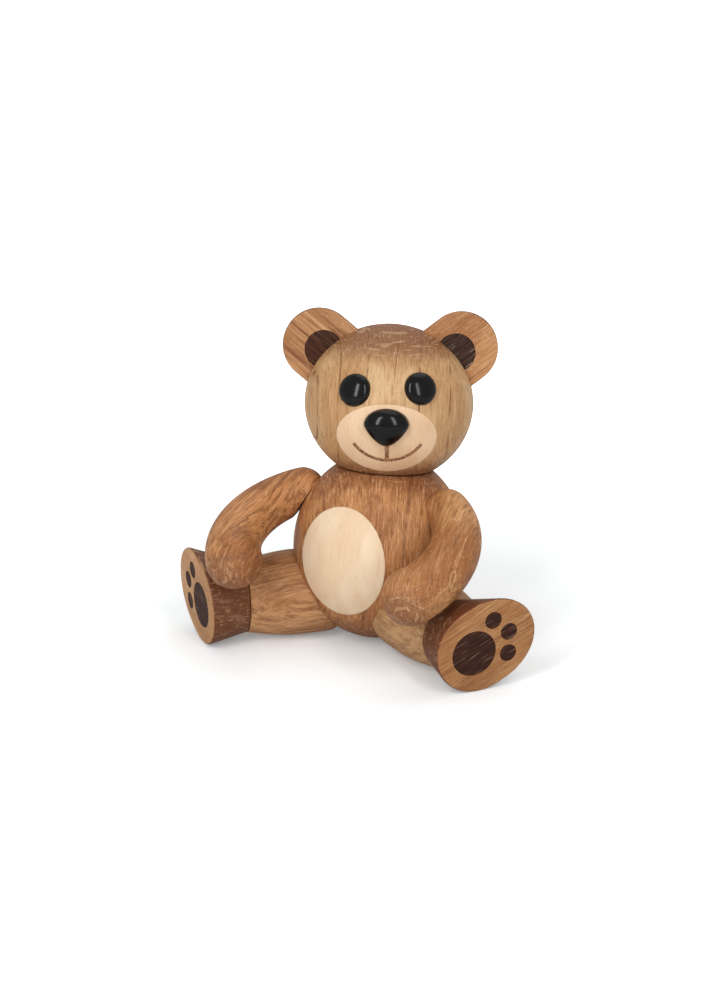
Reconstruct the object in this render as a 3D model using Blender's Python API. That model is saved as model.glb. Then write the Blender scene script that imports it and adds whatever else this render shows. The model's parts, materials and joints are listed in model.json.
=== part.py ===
"""Turned wooden bear that sits with its legs apart.

The head turns on a neck dowel, each arm swings on a shoulder dowel, and each leg
and each foot turns about its own length on a dowel.  Every dowel runs in a bush
that holds it by friction.  Lengths are in metres, and angles in degrees where a
name ends in _DEG.  The origin is the middle of the small flat that the body sits
on, +Z is up, and the bear looks along -Y, so its left side is +X.
"""

import math

import bmesh
import bpy
from mathutils import Matrix, Vector

# Room left between two pieces that touch or run in each other
CLEARANCE = 0.0003

# Body: an egg turned about an axis that leans back
BODY_RADIUS = 0.0297
BODY_HALF_HEIGHT = 0.0325
LEAN_DEG = 8.8
SEAT_CUT = 0.0004
NECK_PLANE = 0.0271

# Pale oval let into the belly
BELLY_HALF_WIDTH = 0.0161
BELLY_HALF_HEIGHT = 0.0188
BELLY_DROP = 0.0021
BELLY_TURN_DEG = -4.8
BELLY_DEPTH = 0.0068

# Head: a flatter egg on the same axis
HEAD_RADIUS = 0.0289
HEAD_HALF_HEIGHT = 0.02705
HEAD_CUT = 0.0222
HEAD_YAW_DEG = 22.5
FACE_ROLL_DEG = 2.5

# Pale oval let into the face, and the nose and eyes
MUZZLE_HALF_WIDTH = 0.0168
MUZZLE_HALF_HEIGHT = 0.0130
MUZZLE_DROP = 0.0096
MUZZLE_TILT_DEG = -22.5
MUZZLE_DEPTH = 0.0070
NOSE_HALF_WIDTH = 0.0075
NOSE_UPPER = 0.0057
NOSE_LOWER = 0.0069
NOSE_TAPER = 0.35
NOSE_RISE = 0.0041
NOSE_TILT_DEG = -6.6
NOSE_SINK = 0.0013
EYE_RADIUS = 0.0055
EYE_OUT = 0.0110
EYE_UP = {"left": 0.0090, "right": 0.0080}
EYE_RISE = 0.0026
EYE_SINK = 0.0010
STEM_RADIUS = 0.0015
STEM_LENGTH = 0.0022

# Ears: flat tongues in slots of the head
EAR_RADIUS = 0.0124
EAR_REACH = 0.0312
EAR_ROOT = 0.0200
EAR_RISE_DEG = 38.9
EAR_THICKNESS = 0.0045
EAR_EDGE = 0.0005
EAR_INLAY_RADIUS = 0.0065
EAR_INLAY_REACH = 0.0289
EAR_INLAY_DEPTH = 0.0012

# Arms: round bars bent on an arc, with round ends, shaved flat where they sit on the body
SHOULDER_RISE = 0.01785
SHOULDER_FORWARD = 0.0030
SHOULDER_SINK = 0.0009
SHOULDER_SEAT_RADIUS = 0.0120
ARM_START = 0.0255
ARM_FROM_DEG = 3.6
ARM_FLAT_REACH = 0.0200
ARM_SLANT_DEG = 39.4
ARM_BEND_RADIUS = 0.0343
ARM_BEND_DEG = 84.7
ARM_WRIST_RADIUS = 0.00775
ARM_HAND_RADIUS = 0.00965
ARM_RAISE_DEG = {"left": 69.8, "right": 73.5}

# Legs: bars turned about their length, seated in sockets of the body
HIP_OUT = {"left": 0.0252, "right": 0.0263}
HIP_FORWARD = {"left": 0.0170, "right": 0.0146}
HIP_HEIGHT = 0.0152
LEG_RADIUS = 0.01485
LEG_TAPER = 0.0025
LEG_LENGTH = 0.0177
LEG_ROOT = 0.0160
LEG_ROOT_SWELL = 0.0600
LEG_ROOT_ROUND = 0.0050
LEG_SPLAY_DEG = {"left": 55.7, "right": 50.1}
SOCKET_MOUTH = 0.0040

# Feet: flared from the round ankle to an oval sole
SOLE_DISTANCE = 0.0155
SOLE_FORWARD = 0.00295
SOLE_HALF_LENGTH = 0.0186
SOLE_HALF_WIDTH = 0.0155
SOLE_HEEL_SWELL = 0.10
SOLE_TOE_SWELL = 0.03
SOLE_TILT_DEG = 6.9
SOLE_EDGE = 0.0012
ANKLE_EDGE = 0.0004
FOOT_ROLL_DEG = {"left": 64.7, "right": 69.3}
PAD_RADIUS = 0.00785
PAD_BACK = 0.0052
PAD_DEPTH = 0.0020
TOE_RADIUS = 0.0029
TOE_FORWARD = 0.00865
TOE_SIDE_FORWARD = 0.0054
TOE_SIDE = 0.0070
TOE_DEPTH = 0.0018

# Dowels and the bushes that they run in
NECK_DOWEL_RADIUS = 0.0040
NECK_DOWEL_IN_HEAD = 0.0120
NECK_BUSH_RADIUS = 0.0055
NECK_BUSH_LENGTH = 0.0140
SHOULDER_DOWEL_RADIUS = 0.0025
SHOULDER_DOWEL_IN_ARM = 0.0062
SHOULDER_BUSH_RADIUS = 0.0040
SHOULDER_BUSH_LENGTH = 0.0100
HIP_DOWEL_RADIUS = 0.0030
HIP_DOWEL_IN_LEG = 0.0080
HIP_BUSH_RADIUS = 0.0045
HIP_BUSH_LENGTH = 0.0080
ANKLE_DOWEL_RADIUS = 0.0030
ANKLE_DOWEL_IN_FOOT = 0.0070
ANKLE_BUSH_RADIUS = 0.0045
ANKLE_BUSH_LENGTH = 0.0080
DOWEL_CHAMFER = 0.0004

# Fineness of the faceted surfaces
BIG_SIDES = 40
BIG_RINGS = 17
LEG_SIDES = 28
ARM_SIDES = 20
ARM_RINGS = 12
ARM_END_RINGS = 5
SMALL_SIDES = 20
OVAL_SIDES = 32

SIDES = {"left": 1.0, "right": -1.0}
UP = Vector((0.0, 0.0, 1.0))
SMOOTH_BELOW = math.radians(35.0)


def linear(red, green, blue):
    """Turn a colour of 0 to 255 into the shader's linear values."""
    values = []
    for part in (red, green, blue):
        share = part / 255.0
        values.append(share / 12.92 if share <= 0.04045 else ((share + 0.055) / 1.055) ** 2.4)
    return (*values, 1.0)


def finish(name, colour, roughness, metallic=0.0):
    """Give a plain shader of one colour, roughness and metallic value."""
    material = bpy.data.materials.new(name)
    material.use_nodes = True
    shader = material.node_tree.nodes["Principled BSDF"]
    shader.inputs["Base Color"].default_value = linear(*colour)
    shader.inputs["Roughness"].default_value = roughness
    shader.inputs["Metallic"].default_value = metallic
    material.diffuse_color = linear(*colour)
    return material


def oak(name, red=190, green=140, blue=95):
    """Give the oiled oak of the turned pieces."""
    return finish(name, (red, green, blue), 0.45)


def maple(name):
    """Give the pale smooth wood of the ovals."""
    return finish(name, (232, 210, 180), 0.42)


def dark_wood(name):
    """Give the dark brown wood of the pads and the ear discs."""
    return finish(name, (70, 45, 40), 0.5)


def black_gloss(name):
    """Give the black polished eyes and nose."""
    return finish(name, (24, 24, 27), 0.1)


def beech(name):
    """Give the pale wood of the dowels."""
    return finish(name, (214, 178, 132), 0.55)


def bush_rubber(name):
    """Give the dark rubber of the friction bushes."""
    return finish(name, (38, 36, 34), 0.8)


def moved(place, x=0.0, y=0.0, z=0.0):
    """Shift a frame along its own axes."""
    return place @ Matrix.Translation((x, y, z))


def frame_at(point, outward, up=UP):
    """Give a frame whose Z points outward and whose Y points as near up as it can."""
    z_axis = outward.normalized()
    x_axis = up.cross(z_axis).normalized()
    y_axis = z_axis.cross(x_axis)
    turn = Matrix((x_axis, y_axis, z_axis)).transposed()
    return Matrix.Translation(point) @ turn.to_4x4()


def ring(half_width, half_length, height, count, shape=None):
    """Give the points of an oval round local Z, or of a shape of the turn angle."""
    points = []
    for step in range(count):
        angle = math.tau * step / count
        x, y = (math.cos(angle), math.sin(angle)) if shape is None else shape(angle)
        points.append(Vector((half_width * x, half_length * y, height)))
    return points


def circle(radius, height, count=SMALL_SIDES):
    """Give the points of a circle round local Z, or its one middle point."""
    if radius <= 0.0:
        return [Vector((0.0, 0.0, height))]
    return ring(radius, radius, height, count)


def new_object(name, shape, place, material, holder):
    """Make an object of a finished bmesh at a place in the world."""
    bmesh.ops.recalc_face_normals(shape, faces=shape.faces)
    mesh = bpy.data.meshes.new(name)
    shape.to_mesh(mesh)
    shape.free()
    mesh.shade_smooth()
    mesh.set_sharp_from_angle(angle=SMOOTH_BELOW)
    piece = bpy.data.objects.new(name, mesh)
    bpy.context.scene.collection.objects.link(piece)
    if material is not None:
        mesh.materials.append(material)
    hold(piece, place, holder)
    return piece


def hold(piece, place, holder):
    """Put a piece at a place, and hang it on the empty of its joint."""
    piece.matrix_basis = place
    if holder is not None:
        piece.parent = holder["empty"]
        piece.matrix_parent_inverse = holder["place"].inverted()


def joint(name, place, holder=None):
    """Make the empty that stands on a joint, with Z along its axis."""
    empty = bpy.data.objects.new(name, None)
    bpy.context.scene.collection.objects.link(empty)
    empty.empty_display_size = 0.01
    hold(empty, place, holder)
    return {"empty": empty, "place": place}


def skin(shape, rings, closed=False):
    """Join rings of points, low to high, and close the two ends."""
    made = [[shape.verts.new(point) for point in points] for points in rings]
    pairs = list(zip(made, made[1:]))
    if closed:
        pairs.append((made[-1], made[0]))
    for low, high in pairs:
        for step in range(max(len(low), len(high))):
            corners = (
                low[step % len(low)],
                low[(step + 1) % len(low)],
                high[(step + 1) % len(high)],
                high[step % len(high)],
            )
            shape.faces.new(dict.fromkeys(corners))
    if not closed:
        for end in (made[0], made[-1]):
            if len(end) > 2:
                shape.faces.new(end)


def solid(name, rings, place, material=None, holder=None):
    """Make one closed solid of rings that follow each other along local Z."""
    shape = bmesh.new()
    skin(shape, rings)
    return new_object(name, shape, place, material, holder)


def as_tool(piece):
    """Mark a solid that only cuts others, and isn't a piece of the bear."""
    piece.hide_render = True
    piece.display_type = "WIRE"
    return piece


def shape_by(piece, tool, operation="DIFFERENCE"):
    """Cut a tool out of a piece, or keep only what lies inside the tool."""
    change = piece.modifiers.new(tool.name, "BOOLEAN")
    change.operation = operation
    change.solver = "EXACT"
    change.object = tool


def dowel_rings(radius, low, high):
    """Give the rings of a dowel with chamfered ends."""
    return [
        circle(radius - DOWEL_CHAMFER, low),
        circle(radius, low + DOWEL_CHAMFER),
        circle(radius, high - DOWEL_CHAMFER),
        circle(radius - DOWEL_CHAMFER, high),
    ]


def bore_tool(name, radius, low, high, place):
    """Make the tool of a round hole along local Z."""
    return as_tool(solid(name, [circle(radius, low), circle(radius, high)], place))


def bush(name, inner, outer, low, high, place, holder):
    """Make a sleeve between two heights of local Z."""
    shape = bmesh.new()
    rings = [circle(outer, low), circle(outer, high), circle(inner, high), circle(inner, low)]
    skin(shape, rings, closed=True)
    return new_object(name, shape, place, bush_rubber(name), holder)


def egg_outline(radius, half_height, low, high, count=BIG_RINGS):
    """Give (height, radius) pairs of an egg between two heights, low to high."""
    first = math.asin(max(-1.0, low / half_height))
    last = math.asin(min(1.0, high / half_height))
    pairs = []
    for step in range(count + 1):
        angle = first + (last - first) * step / count
        pairs.append((half_height * math.sin(angle), radius * math.cos(angle)))
    return pairs


def turned(outline, count):
    """Give the rings of a turned piece from its (height, radius) pairs."""
    least = 0.00001
    return [circle(radius if radius > least else 0.0, height, count) for height, radius in outline]


def dome_rings(half_width, half_length, rise, sink, count, shape=None):
    """Give the rings of a domed cap with a short straight skirt below it."""
    rings = [ring(half_width, half_length, -sink, count, shape)]
    steps = 5
    for step in range(steps):
        angle = 0.5 * math.pi * step / steps
        share = math.cos(angle) ** 0.8
        rings.append(ring(half_width * share, half_length * share, rise * math.sin(angle), count, shape))
    rings.append([Vector((0.0, 0.0, rise))])
    return rings


# Where the body stands: its egg is sunk until the flat under it reaches the floor
LEAN = math.radians(LEAN_DEG)
BODY_DROP = math.hypot(BODY_HALF_HEIGHT * math.cos(LEAN), BODY_RADIUS * math.sin(LEAN))
BODY_HEIGHT = BODY_DROP - SEAT_CUT
BODY_BACK = (
    (BODY_HALF_HEIGHT**2 - BODY_RADIUS**2)
    * math.sin(LEAN)
    * math.cos(LEAN)
    * BODY_HEIGHT
    / BODY_DROP**2
)
BODY_CENTRE = Vector((0.0, BODY_BACK, BODY_HEIGHT))
BODY_PLACE = Matrix.Translation(BODY_CENTRE) @ Matrix.Rotation(-LEAN, 4, "X")
HEAD_RISE = NECK_PLANE + CLEARANCE + HEAD_CUT
HEAD_PLACE = moved(BODY_PLACE, z=HEAD_RISE) @ Matrix.Rotation(math.radians(HEAD_YAW_DEG), 4, "Z")
FACE_PLACE = HEAD_PLACE @ Matrix.Rotation(-math.radians(FACE_ROLL_DEG), 4, "Y")
NECK_PLACE = moved(BODY_PLACE, z=NECK_PLANE)


def body_rings():
    """Give the rings of the body's egg, from its foot to the neck."""
    return turned(egg_outline(BODY_RADIUS, BODY_HALF_HEIGHT, -BODY_HALF_HEIGHT, NECK_PLANE), BIG_SIDES)


def head_rings():
    """Give the rings of the head's egg, from the flat at the neck to the crown."""
    return turned(egg_outline(HEAD_RADIUS, HEAD_HALF_HEIGHT, -HEAD_CUT, HEAD_HALF_HEIGHT), BIG_SIDES)


def oval_plug(name, half_width, half_height, low, high, place):
    """Make the tool of an oval prism."""
    rings = [ring(half_width, half_height, height, OVAL_SIDES) for height in (low, high)]
    return as_tool(solid(name, rings, place))


def build_body():
    """Make the body with its seat, its neck face and the pale oval in its belly."""
    body = solid("body", body_rings(), BODY_PLACE, oak("body", 178, 126, 84))
    floor_rings = [ring(BODY_RADIUS, BODY_RADIUS, height, 4) for height in (-BODY_RADIUS, 0.0)]
    shape_by(body, as_tool(solid("seat_tool", floor_rings, Matrix())))

    turn = math.radians(BELLY_TURN_DEG)
    outward = Vector((math.sin(turn), -math.cos(turn), 0.0))
    place = BODY_PLACE @ frame_at(Vector((0.0, 0.0, -BELLY_DROP)), outward)
    floor = BODY_RADIUS - BELLY_DEPTH
    beyond = BODY_RADIUS + BELLY_DEPTH
    inlay = solid("belly_inlay", body_rings(), BODY_PLACE, maple("belly_inlay"))
    plug = oval_plug("belly_plug_tool", BELLY_HALF_WIDTH, BELLY_HALF_HEIGHT, floor + CLEARANCE, beyond, place)
    shape_by(inlay, plug, "INTERSECT")
    pocket = oval_plug(
        "belly_pocket_tool",
        BELLY_HALF_WIDTH + CLEARANCE,
        BELLY_HALF_HEIGHT + CLEARANCE,
        floor,
        beyond,
        place,
    )
    shape_by(body, pocket)
    return body


def build_neck(body, head, holder):
    """Make the neck's dowel, glued in the head, and its bush in the body."""
    bush(
        "neck_bush",
        NECK_DOWEL_RADIUS + CLEARANCE,
        NECK_BUSH_RADIUS,
        -NECK_BUSH_LENGTH,
        0.0,
        NECK_PLACE,
        None,
    )
    bush_floor = -NECK_BUSH_LENGTH - CLEARANCE
    shape_by(body, bore_tool("neck_bush_tool", NECK_BUSH_RADIUS + CLEARANCE, bush_floor, CLEARANCE, NECK_PLACE))
    rings = dowel_rings(NECK_DOWEL_RADIUS, CLEARANCE - NECK_BUSH_LENGTH, NECK_DOWEL_IN_HEAD)
    solid("neck_dowel", rings, NECK_PLACE, beech("neck_dowel"), holder)
    top = NECK_DOWEL_IN_HEAD + CLEARANCE
    shape_by(head, bore_tool("neck_hole_tool", NECK_DOWEL_RADIUS + CLEARANCE, 0.0, top, NECK_PLACE))


def nose_shape(angle):
    """Give the nose's outline: round above, tapered to a blunt point below."""
    x = math.cos(angle)
    y = math.sin(angle)
    if y >= 0.0:
        return x, y * NOSE_UPPER / NOSE_LOWER
    return x * (1.0 + NOSE_TAPER * y), y


def head_surface(x, z):
    """Give the point of the head's front at a place beside and above its middle."""
    share = 1.0 - (z / HEAD_HALF_HEIGHT) ** 2 - (x / HEAD_RADIUS) ** 2
    return Vector((x, -HEAD_RADIUS * math.sqrt(share), z))


def head_normal(point):
    """Give the outward direction of the head's surface at one of its points."""
    return Vector((point.x / HEAD_RADIUS**2, point.y / HEAD_RADIUS**2, point.z / HEAD_HALF_HEIGHT**2))


def with_stem(name, rings, back, place, material, holder):
    """Make a domed piece with a round stem behind its flat back."""
    shape = bmesh.new()
    skin(shape, rings)
    piece = new_object(name, shape, place, material, holder)
    stem_rings = [circle(STEM_RADIUS, back - STEM_LENGTH), circle(STEM_RADIUS, back + STEM_RADIUS)]
    stem = as_tool(solid(name + "_stem_tool", stem_rings, place))
    shape_by(piece, stem, "UNION")
    return piece


def build_face(head, holder):
    """Make the muzzle's oval, the nose and the two eyes."""
    tilt = math.radians(MUZZLE_TILT_DEG)
    outward = Vector((0.0, -math.cos(tilt), math.sin(tilt)))
    middle = head_surface(0.0, -MUZZLE_DROP)
    place = FACE_PLACE @ frame_at(middle, outward)
    beyond = MUZZLE_DEPTH
    muzzle = solid("muzzle_inlay", head_rings(), HEAD_PLACE, maple("muzzle_inlay"), holder)
    plug = oval_plug(
        "muzzle_plug_tool",
        MUZZLE_HALF_WIDTH,
        MUZZLE_HALF_HEIGHT,
        CLEARANCE - MUZZLE_DEPTH,
        beyond,
        place,
    )
    shape_by(muzzle, plug, "INTERSECT")
    pocket = oval_plug(
        "muzzle_pocket_tool",
        MUZZLE_HALF_WIDTH + CLEARANCE,
        MUZZLE_HALF_HEIGHT + CLEARANCE,
        -MUZZLE_DEPTH,
        beyond,
        place,
    )
    shape_by(head, pocket)

    tilt = math.radians(NOSE_TILT_DEG)
    outward = Vector((0.0, -math.cos(tilt), math.sin(tilt)))
    place = FACE_PLACE @ frame_at(head_surface(0.0, HEAD_RADIUS * math.sin(tilt)), outward)
    rings = dome_rings(NOSE_HALF_WIDTH, NOSE_LOWER, NOSE_RISE, NOSE_SINK, OVAL_SIDES - 8, nose_shape)
    with_stem("nose", rings, -NOSE_SINK, place, black_gloss("nose"), holder)
    recess_rings = [
        ring(NOSE_HALF_WIDTH + CLEARANCE, NOSE_LOWER + CLEARANCE, height, OVAL_SIDES - 8, nose_shape)
        for height in (-NOSE_SINK - CLEARANCE, NOSE_RISE)
    ]
    recess = as_tool(solid("nose_recess_tool", recess_rings, place))
    stem_floor = -NOSE_SINK - STEM_LENGTH - CLEARANCE
    stem_hole = bore_tool("nose_stem_hole_tool", STEM_RADIUS + CLEARANCE, stem_floor, 0.0, place)
    for tool in (recess, stem_hole):
        shape_by(muzzle, tool)

    for side, sign in SIDES.items():
        spot = head_surface(sign * EYE_OUT, EYE_UP[side])
        place = FACE_PLACE @ frame_at(spot, head_normal(spot))
        name = "eye_" + side
        rings = dome_rings(EYE_RADIUS, EYE_RADIUS, EYE_RISE, EYE_SINK, SMALL_SIDES + 4)
        with_stem(name, rings, -EYE_SINK, place, black_gloss(name), holder)
        recess_rings = [
            circle(EYE_RADIUS + CLEARANCE, height, SMALL_SIDES + 4)
            for height in (-EYE_SINK - CLEARANCE, EYE_RISE)
        ]
        shape_by(head, as_tool(solid(name + "_recess_tool", recess_rings, place)))
        stem_floor = -EYE_SINK - STEM_LENGTH - CLEARANCE
        shape_by(head, bore_tool(name + "_stem_hole_tool", STEM_RADIUS + CLEARANCE, stem_floor, 0.0, place))


def ear_ring(radius, root, height):
    """Give an ear's outline: half a circle above a tongue with straight sides."""
    steps = 18
    points = [Vector((radius, -root, height))]
    for step in range(steps + 1):
        angle = math.pi * step / steps
        points.append(Vector((radius * math.cos(angle), radius * math.sin(angle), height)))
    points.append(Vector((-radius, -root, height)))
    return points


def build_ears(head, holder):
    """Make the two ears, each with a dark disc in its front, and their slots."""
    half = 0.5 * EAR_THICKNESS
    root = EAR_REACH - EAR_ROOT
    for side, sign in SIDES.items():
        rise = math.radians(EAR_RISE_DEG)
        reach = Vector((sign * math.cos(rise), 0.0, math.sin(rise)))
        place = FACE_PLACE @ frame_at(EAR_REACH * reach, Vector((0.0, -1.0, 0.0)), reach)
        rings = [
            ear_ring(EAR_RADIUS - EAR_EDGE, root - EAR_EDGE, -half),
            ear_ring(EAR_RADIUS, root, EAR_EDGE - half),
            ear_ring(EAR_RADIUS, root, half - EAR_EDGE),
            ear_ring(EAR_RADIUS - EAR_EDGE, root - EAR_EDGE, half),
        ]
        name = "ear_" + side
        ear = solid(name, rings, place, oak(name, 196, 138, 92), holder)
        slot_rings = [
            ear_ring(EAR_RADIUS + CLEARANCE, root + CLEARANCE, height)
            for height in (-half - CLEARANCE, half + CLEARANCE)
        ]
        shape_by(head, as_tool(solid(name + "_slot_tool", slot_rings, place)))

        inlay_place = moved(place, y=EAR_INLAY_REACH - EAR_REACH)
        name = "ear_inlay_" + side
        disc = [circle(EAR_INLAY_RADIUS, height, SMALL_SIDES + 4) for height in (half - EAR_INLAY_DEPTH, half)]
        solid(name, disc, inlay_place, dark_wood(name), holder)
        pocket = [
            circle(EAR_INLAY_RADIUS + CLEARANCE, height, SMALL_SIDES + 4)
            for height in (half - EAR_INLAY_DEPTH - CLEARANCE, half + CLEARANCE)
        ]
        shape_by(ear, as_tool(solid(name + "_pocket_tool", pocket, inlay_place)))


def build_head(body):
    """Make the head and all that turns with it."""
    holder = joint("neck_turn", NECK_PLACE)
    head = solid("head", head_rings(), HEAD_PLACE, oak("head", 200, 155, 110), holder)
    build_face(head, holder)
    build_ears(head, holder)
    build_neck(body, head, holder)


def shoulder_place(side):
    """Give the frame of a shoulder's flat, with Z square out of the body's surface."""
    offset = BODY_PLACE.to_3x3().inverted() @ Vector((0.0, -SHOULDER_FORWARD, SHOULDER_RISE))
    share = 1.0 - (offset.z / BODY_HALF_HEIGHT) ** 2 - (offset.y / BODY_RADIUS) ** 2
    spot = Vector((SIDES[side] * BODY_RADIUS * math.sqrt(share), offset.y, offset.z))
    outward = Vector((spot.x / BODY_RADIUS**2, spot.y / BODY_RADIUS**2, spot.z / BODY_HALF_HEIGHT**2))
    return moved(BODY_PLACE @ frame_at(spot, outward), z=-SHOULDER_SINK)


def arm_rings(side):
    """Give the rings of an arm from its round end at the body, round the bend, to the hand."""
    slant = math.radians(ARM_SLANT_DEG)
    first = math.radians(ARM_FROM_DEG)
    bend = math.radians(ARM_BEND_DEG)

    def heading(lean):
        """Give the direction of the bar where it leans by an angle."""
        return Vector((side * math.cos(lean), 0.0, -math.sin(lean)))

    def spine(lean):
        """Give the middle of the bar where it leans by an angle."""
        out = ARM_BEND_RADIUS * (math.sin(lean) - math.sin(slant))
        return Vector((side * out, 0.0, -ARM_BEND_RADIUS * (math.cos(slant) - math.cos(lean))))

    def section(middle, lean, radius):
        """Give one round section, square to the bar."""
        across = Vector((side * math.sin(lean), 0.0, math.cos(lean)))
        points = []
        for step in range(ARM_SIDES):
            angle = math.tau * step / ARM_SIDES
            offset = across * math.cos(angle) + Vector((0.0, math.sin(angle), 0.0))
            points.append(middle + radius * offset)
        return points

    back = -heading(slant + first)
    middle = spine(slant + first)
    rings = [[middle + ARM_WRIST_RADIUS * back]]
    for step in range(ARM_END_RINGS - 1, -1, -1):
        angle = 0.5 * math.pi * step / ARM_END_RINGS
        spot = middle + back * (ARM_WRIST_RADIUS * math.sin(angle))
        rings.append(section(spot, slant + first, ARM_WRIST_RADIUS * math.cos(angle)))
    for step in range(1, ARM_RINGS + 1):
        share = step / ARM_RINGS
        lean = slant + first + (bend - first) * share
        middle = spine(lean)
        radius = ARM_WRIST_RADIUS + (ARM_HAND_RADIUS - ARM_WRIST_RADIUS) * share
        rings.append(section(middle, lean, radius))
    ahead = heading(slant + bend)
    for step in range(1, ARM_END_RINGS):
        angle = 0.5 * math.pi * step / ARM_END_RINGS
        spot = middle + ahead * (ARM_HAND_RADIUS * math.sin(angle))
        rings.append(section(spot, slant + bend, ARM_HAND_RADIUS * math.cos(angle)))
    rings.append([middle + ahead * ARM_HAND_RADIUS])
    return rings


def build_arm(body, side):
    """Make one arm with its dowel, and its bush and flat seat in the body."""
    sign = SIDES[side]
    seat_place = shoulder_place(side)
    seat = [circle(SHOULDER_SEAT_RADIUS, height) for height in (0.0, SHOULDER_SEAT_RADIUS)]
    shape_by(body, as_tool(solid("shoulder_seat_tool_" + side, seat, seat_place)))

    start = BODY_CENTRE + Vector((sign * ARM_START, -SHOULDER_FORWARD, SHOULDER_RISE))
    raise_angle = math.radians(ARM_RAISE_DEG[side])
    place = Matrix.Translation(start) @ Matrix.Rotation(-raise_angle, 4, "X")
    holder = joint("shoulder_" + side, seat_place)
    name = "arm_" + side
    arm = solid(name, arm_rings(sign), place, oak(name, 188, 132, 86), holder)
    flat = [circle(ARM_FLAT_REACH, height) for height in (-ARM_FLAT_REACH, CLEARANCE)]
    shape_by(arm, as_tool(solid("arm_flat_tool_" + side, flat, seat_place)))

    inner = -SHOULDER_BUSH_LENGTH
    bush(
        "shoulder_bush_" + side,
        SHOULDER_DOWEL_RADIUS + CLEARANCE,
        SHOULDER_BUSH_RADIUS,
        inner,
        0.0,
        seat_place,
        None,
    )
    bore = SHOULDER_BUSH_RADIUS + CLEARANCE
    shape_by(body, bore_tool("shoulder_bore_tool_" + side, bore, inner - CLEARANCE, CLEARANCE, seat_place))
    outer = CLEARANCE + SHOULDER_DOWEL_IN_ARM
    name = "shoulder_dowel_" + side
    rings = dowel_rings(SHOULDER_DOWEL_RADIUS, inner + CLEARANCE, outer)
    solid(name, rings, seat_place, beech(name), holder)
    hole = SHOULDER_DOWEL_RADIUS + CLEARANCE
    shape_by(arm, bore_tool("shoulder_hole_tool_" + side, hole, 0.0, outer + CLEARANCE, seat_place))


def leg_radius(distance):
    """Give a leg's radius at a distance from its fullest place, outward positive."""
    if distance >= 0.0:
        return LEG_RADIUS - LEG_TAPER * (distance / LEG_LENGTH) ** 1.6
    return LEG_RADIUS * math.sqrt(1.0 - (distance / LEG_ROOT_SWELL) ** 2)


def leg_outline(grow, root, end, end_edge):
    """Give a leg's (distance, radius) pairs from its root to its outer end."""
    pairs = []
    shoulder = -LEG_ROOT + LEG_ROOT_ROUND
    full = leg_radius(shoulder)
    steps = 4
    for step in range(steps):
        angle = 0.5 * math.pi * step / steps
        depth = LEG_ROOT_ROUND + grow
        pairs.append((shoulder - depth * math.cos(angle), full - LEG_ROOT_ROUND + depth * math.sin(angle)))
    pairs[0] = (-root, pairs[0][1])
    steps = 8
    last = end - end_edge
    for step in range(steps + 1):
        distance = shoulder + (last - shoulder) * step / steps
        pairs.append((distance, leg_radius(distance) + grow))
    if end_edge > 0.0:
        pairs.append((end, leg_radius(end) + grow - end_edge))
    return pairs


def sole_place(place):
    """Give the frame on the sole, with Z out of it and Y towards the toes."""
    tilt = math.radians(SOLE_TILT_DEG)
    forward = Vector((0.0, math.cos(tilt), math.sin(tilt)))
    outward = Vector((0.0, -math.sin(tilt), math.cos(tilt)))
    middle = Vector((0.0, 0.0, SOLE_DISTANCE)) + SOLE_FORWARD * forward
    return place @ frame_at(middle, outward, forward)


def sole_shape(angle):
    """Give the sole's outline: an oval that is fuller at the heel and at the toes."""
    forward = math.sin(angle)
    swell = SOLE_TOE_SWELL if forward > 0.0 else -SOLE_HEEL_SWELL
    return math.cos(angle) * (1.0 + swell * forward), forward


def foot_rings():
    """Give a foot's rings from the round ankle to the oval sole."""
    base = 0.5 * CLEARANCE
    ankle = leg_radius(LEG_LENGTH)
    low = circle(ankle, base, LEG_SIDES)
    on_sole = sole_place(Matrix())

    def sole(shrink):
        """Give the sole's oval, drawn in all round."""
        flat = ring(SOLE_HALF_WIDTH - shrink, SOLE_HALF_LENGTH - shrink, 0.0, LEG_SIDES, sole_shape)
        return [on_sole @ point for point in flat]

    high = sole(0.0)
    edge = SOLE_EDGE / SOLE_DISTANCE
    rings = [circle(ankle - ANKLE_EDGE, base, LEG_SIDES)]
    for share in (ANKLE_EDGE / SOLE_DISTANCE, 0.5, 1.0 - edge):
        rings.append([start.lerp(end, share) for start, end in zip(low, high)])
    rings.append([start.lerp(end, 1.0 - 0.3 * edge) for start, end in zip(low, sole(0.3 * SOLE_EDGE))])
    rings.append(sole(SOLE_EDGE))
    return rings


def leg_places(side, pitch):
    """Give the frames of a leg and of its foot for an upward pitch of the leg."""
    sign = SIDES[side]
    splay = math.radians(LEG_SPLAY_DEG[side])
    flat = Vector((sign * math.sin(splay), -math.cos(splay), 0.0))
    along = flat * math.cos(pitch) + UP * math.sin(pitch)
    hip = Vector((sign * HIP_OUT[side], BODY_CENTRE.y - HIP_FORWARD[side], HIP_HEIGHT))
    leg = frame_at(hip, along)
    roll = math.radians(FOOT_ROLL_DEG[side])
    foot = moved(leg, z=LEG_LENGTH) @ Matrix.Rotation(-sign * roll, 4, "Z")
    return leg, foot


def resting_pitch(side):
    """Find the pitch of a leg at which its heel just rests on the floor."""
    points = [point for points in foot_rings() for point in points]
    low = -0.2
    high = 0.2
    for _ in range(50):
        pitch = 0.5 * (low + high)
        foot = leg_places(side, pitch)[1]
        if min((foot @ point).z for point in points) < 0.0:
            low = pitch
        else:
            high = pitch
    return high


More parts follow.
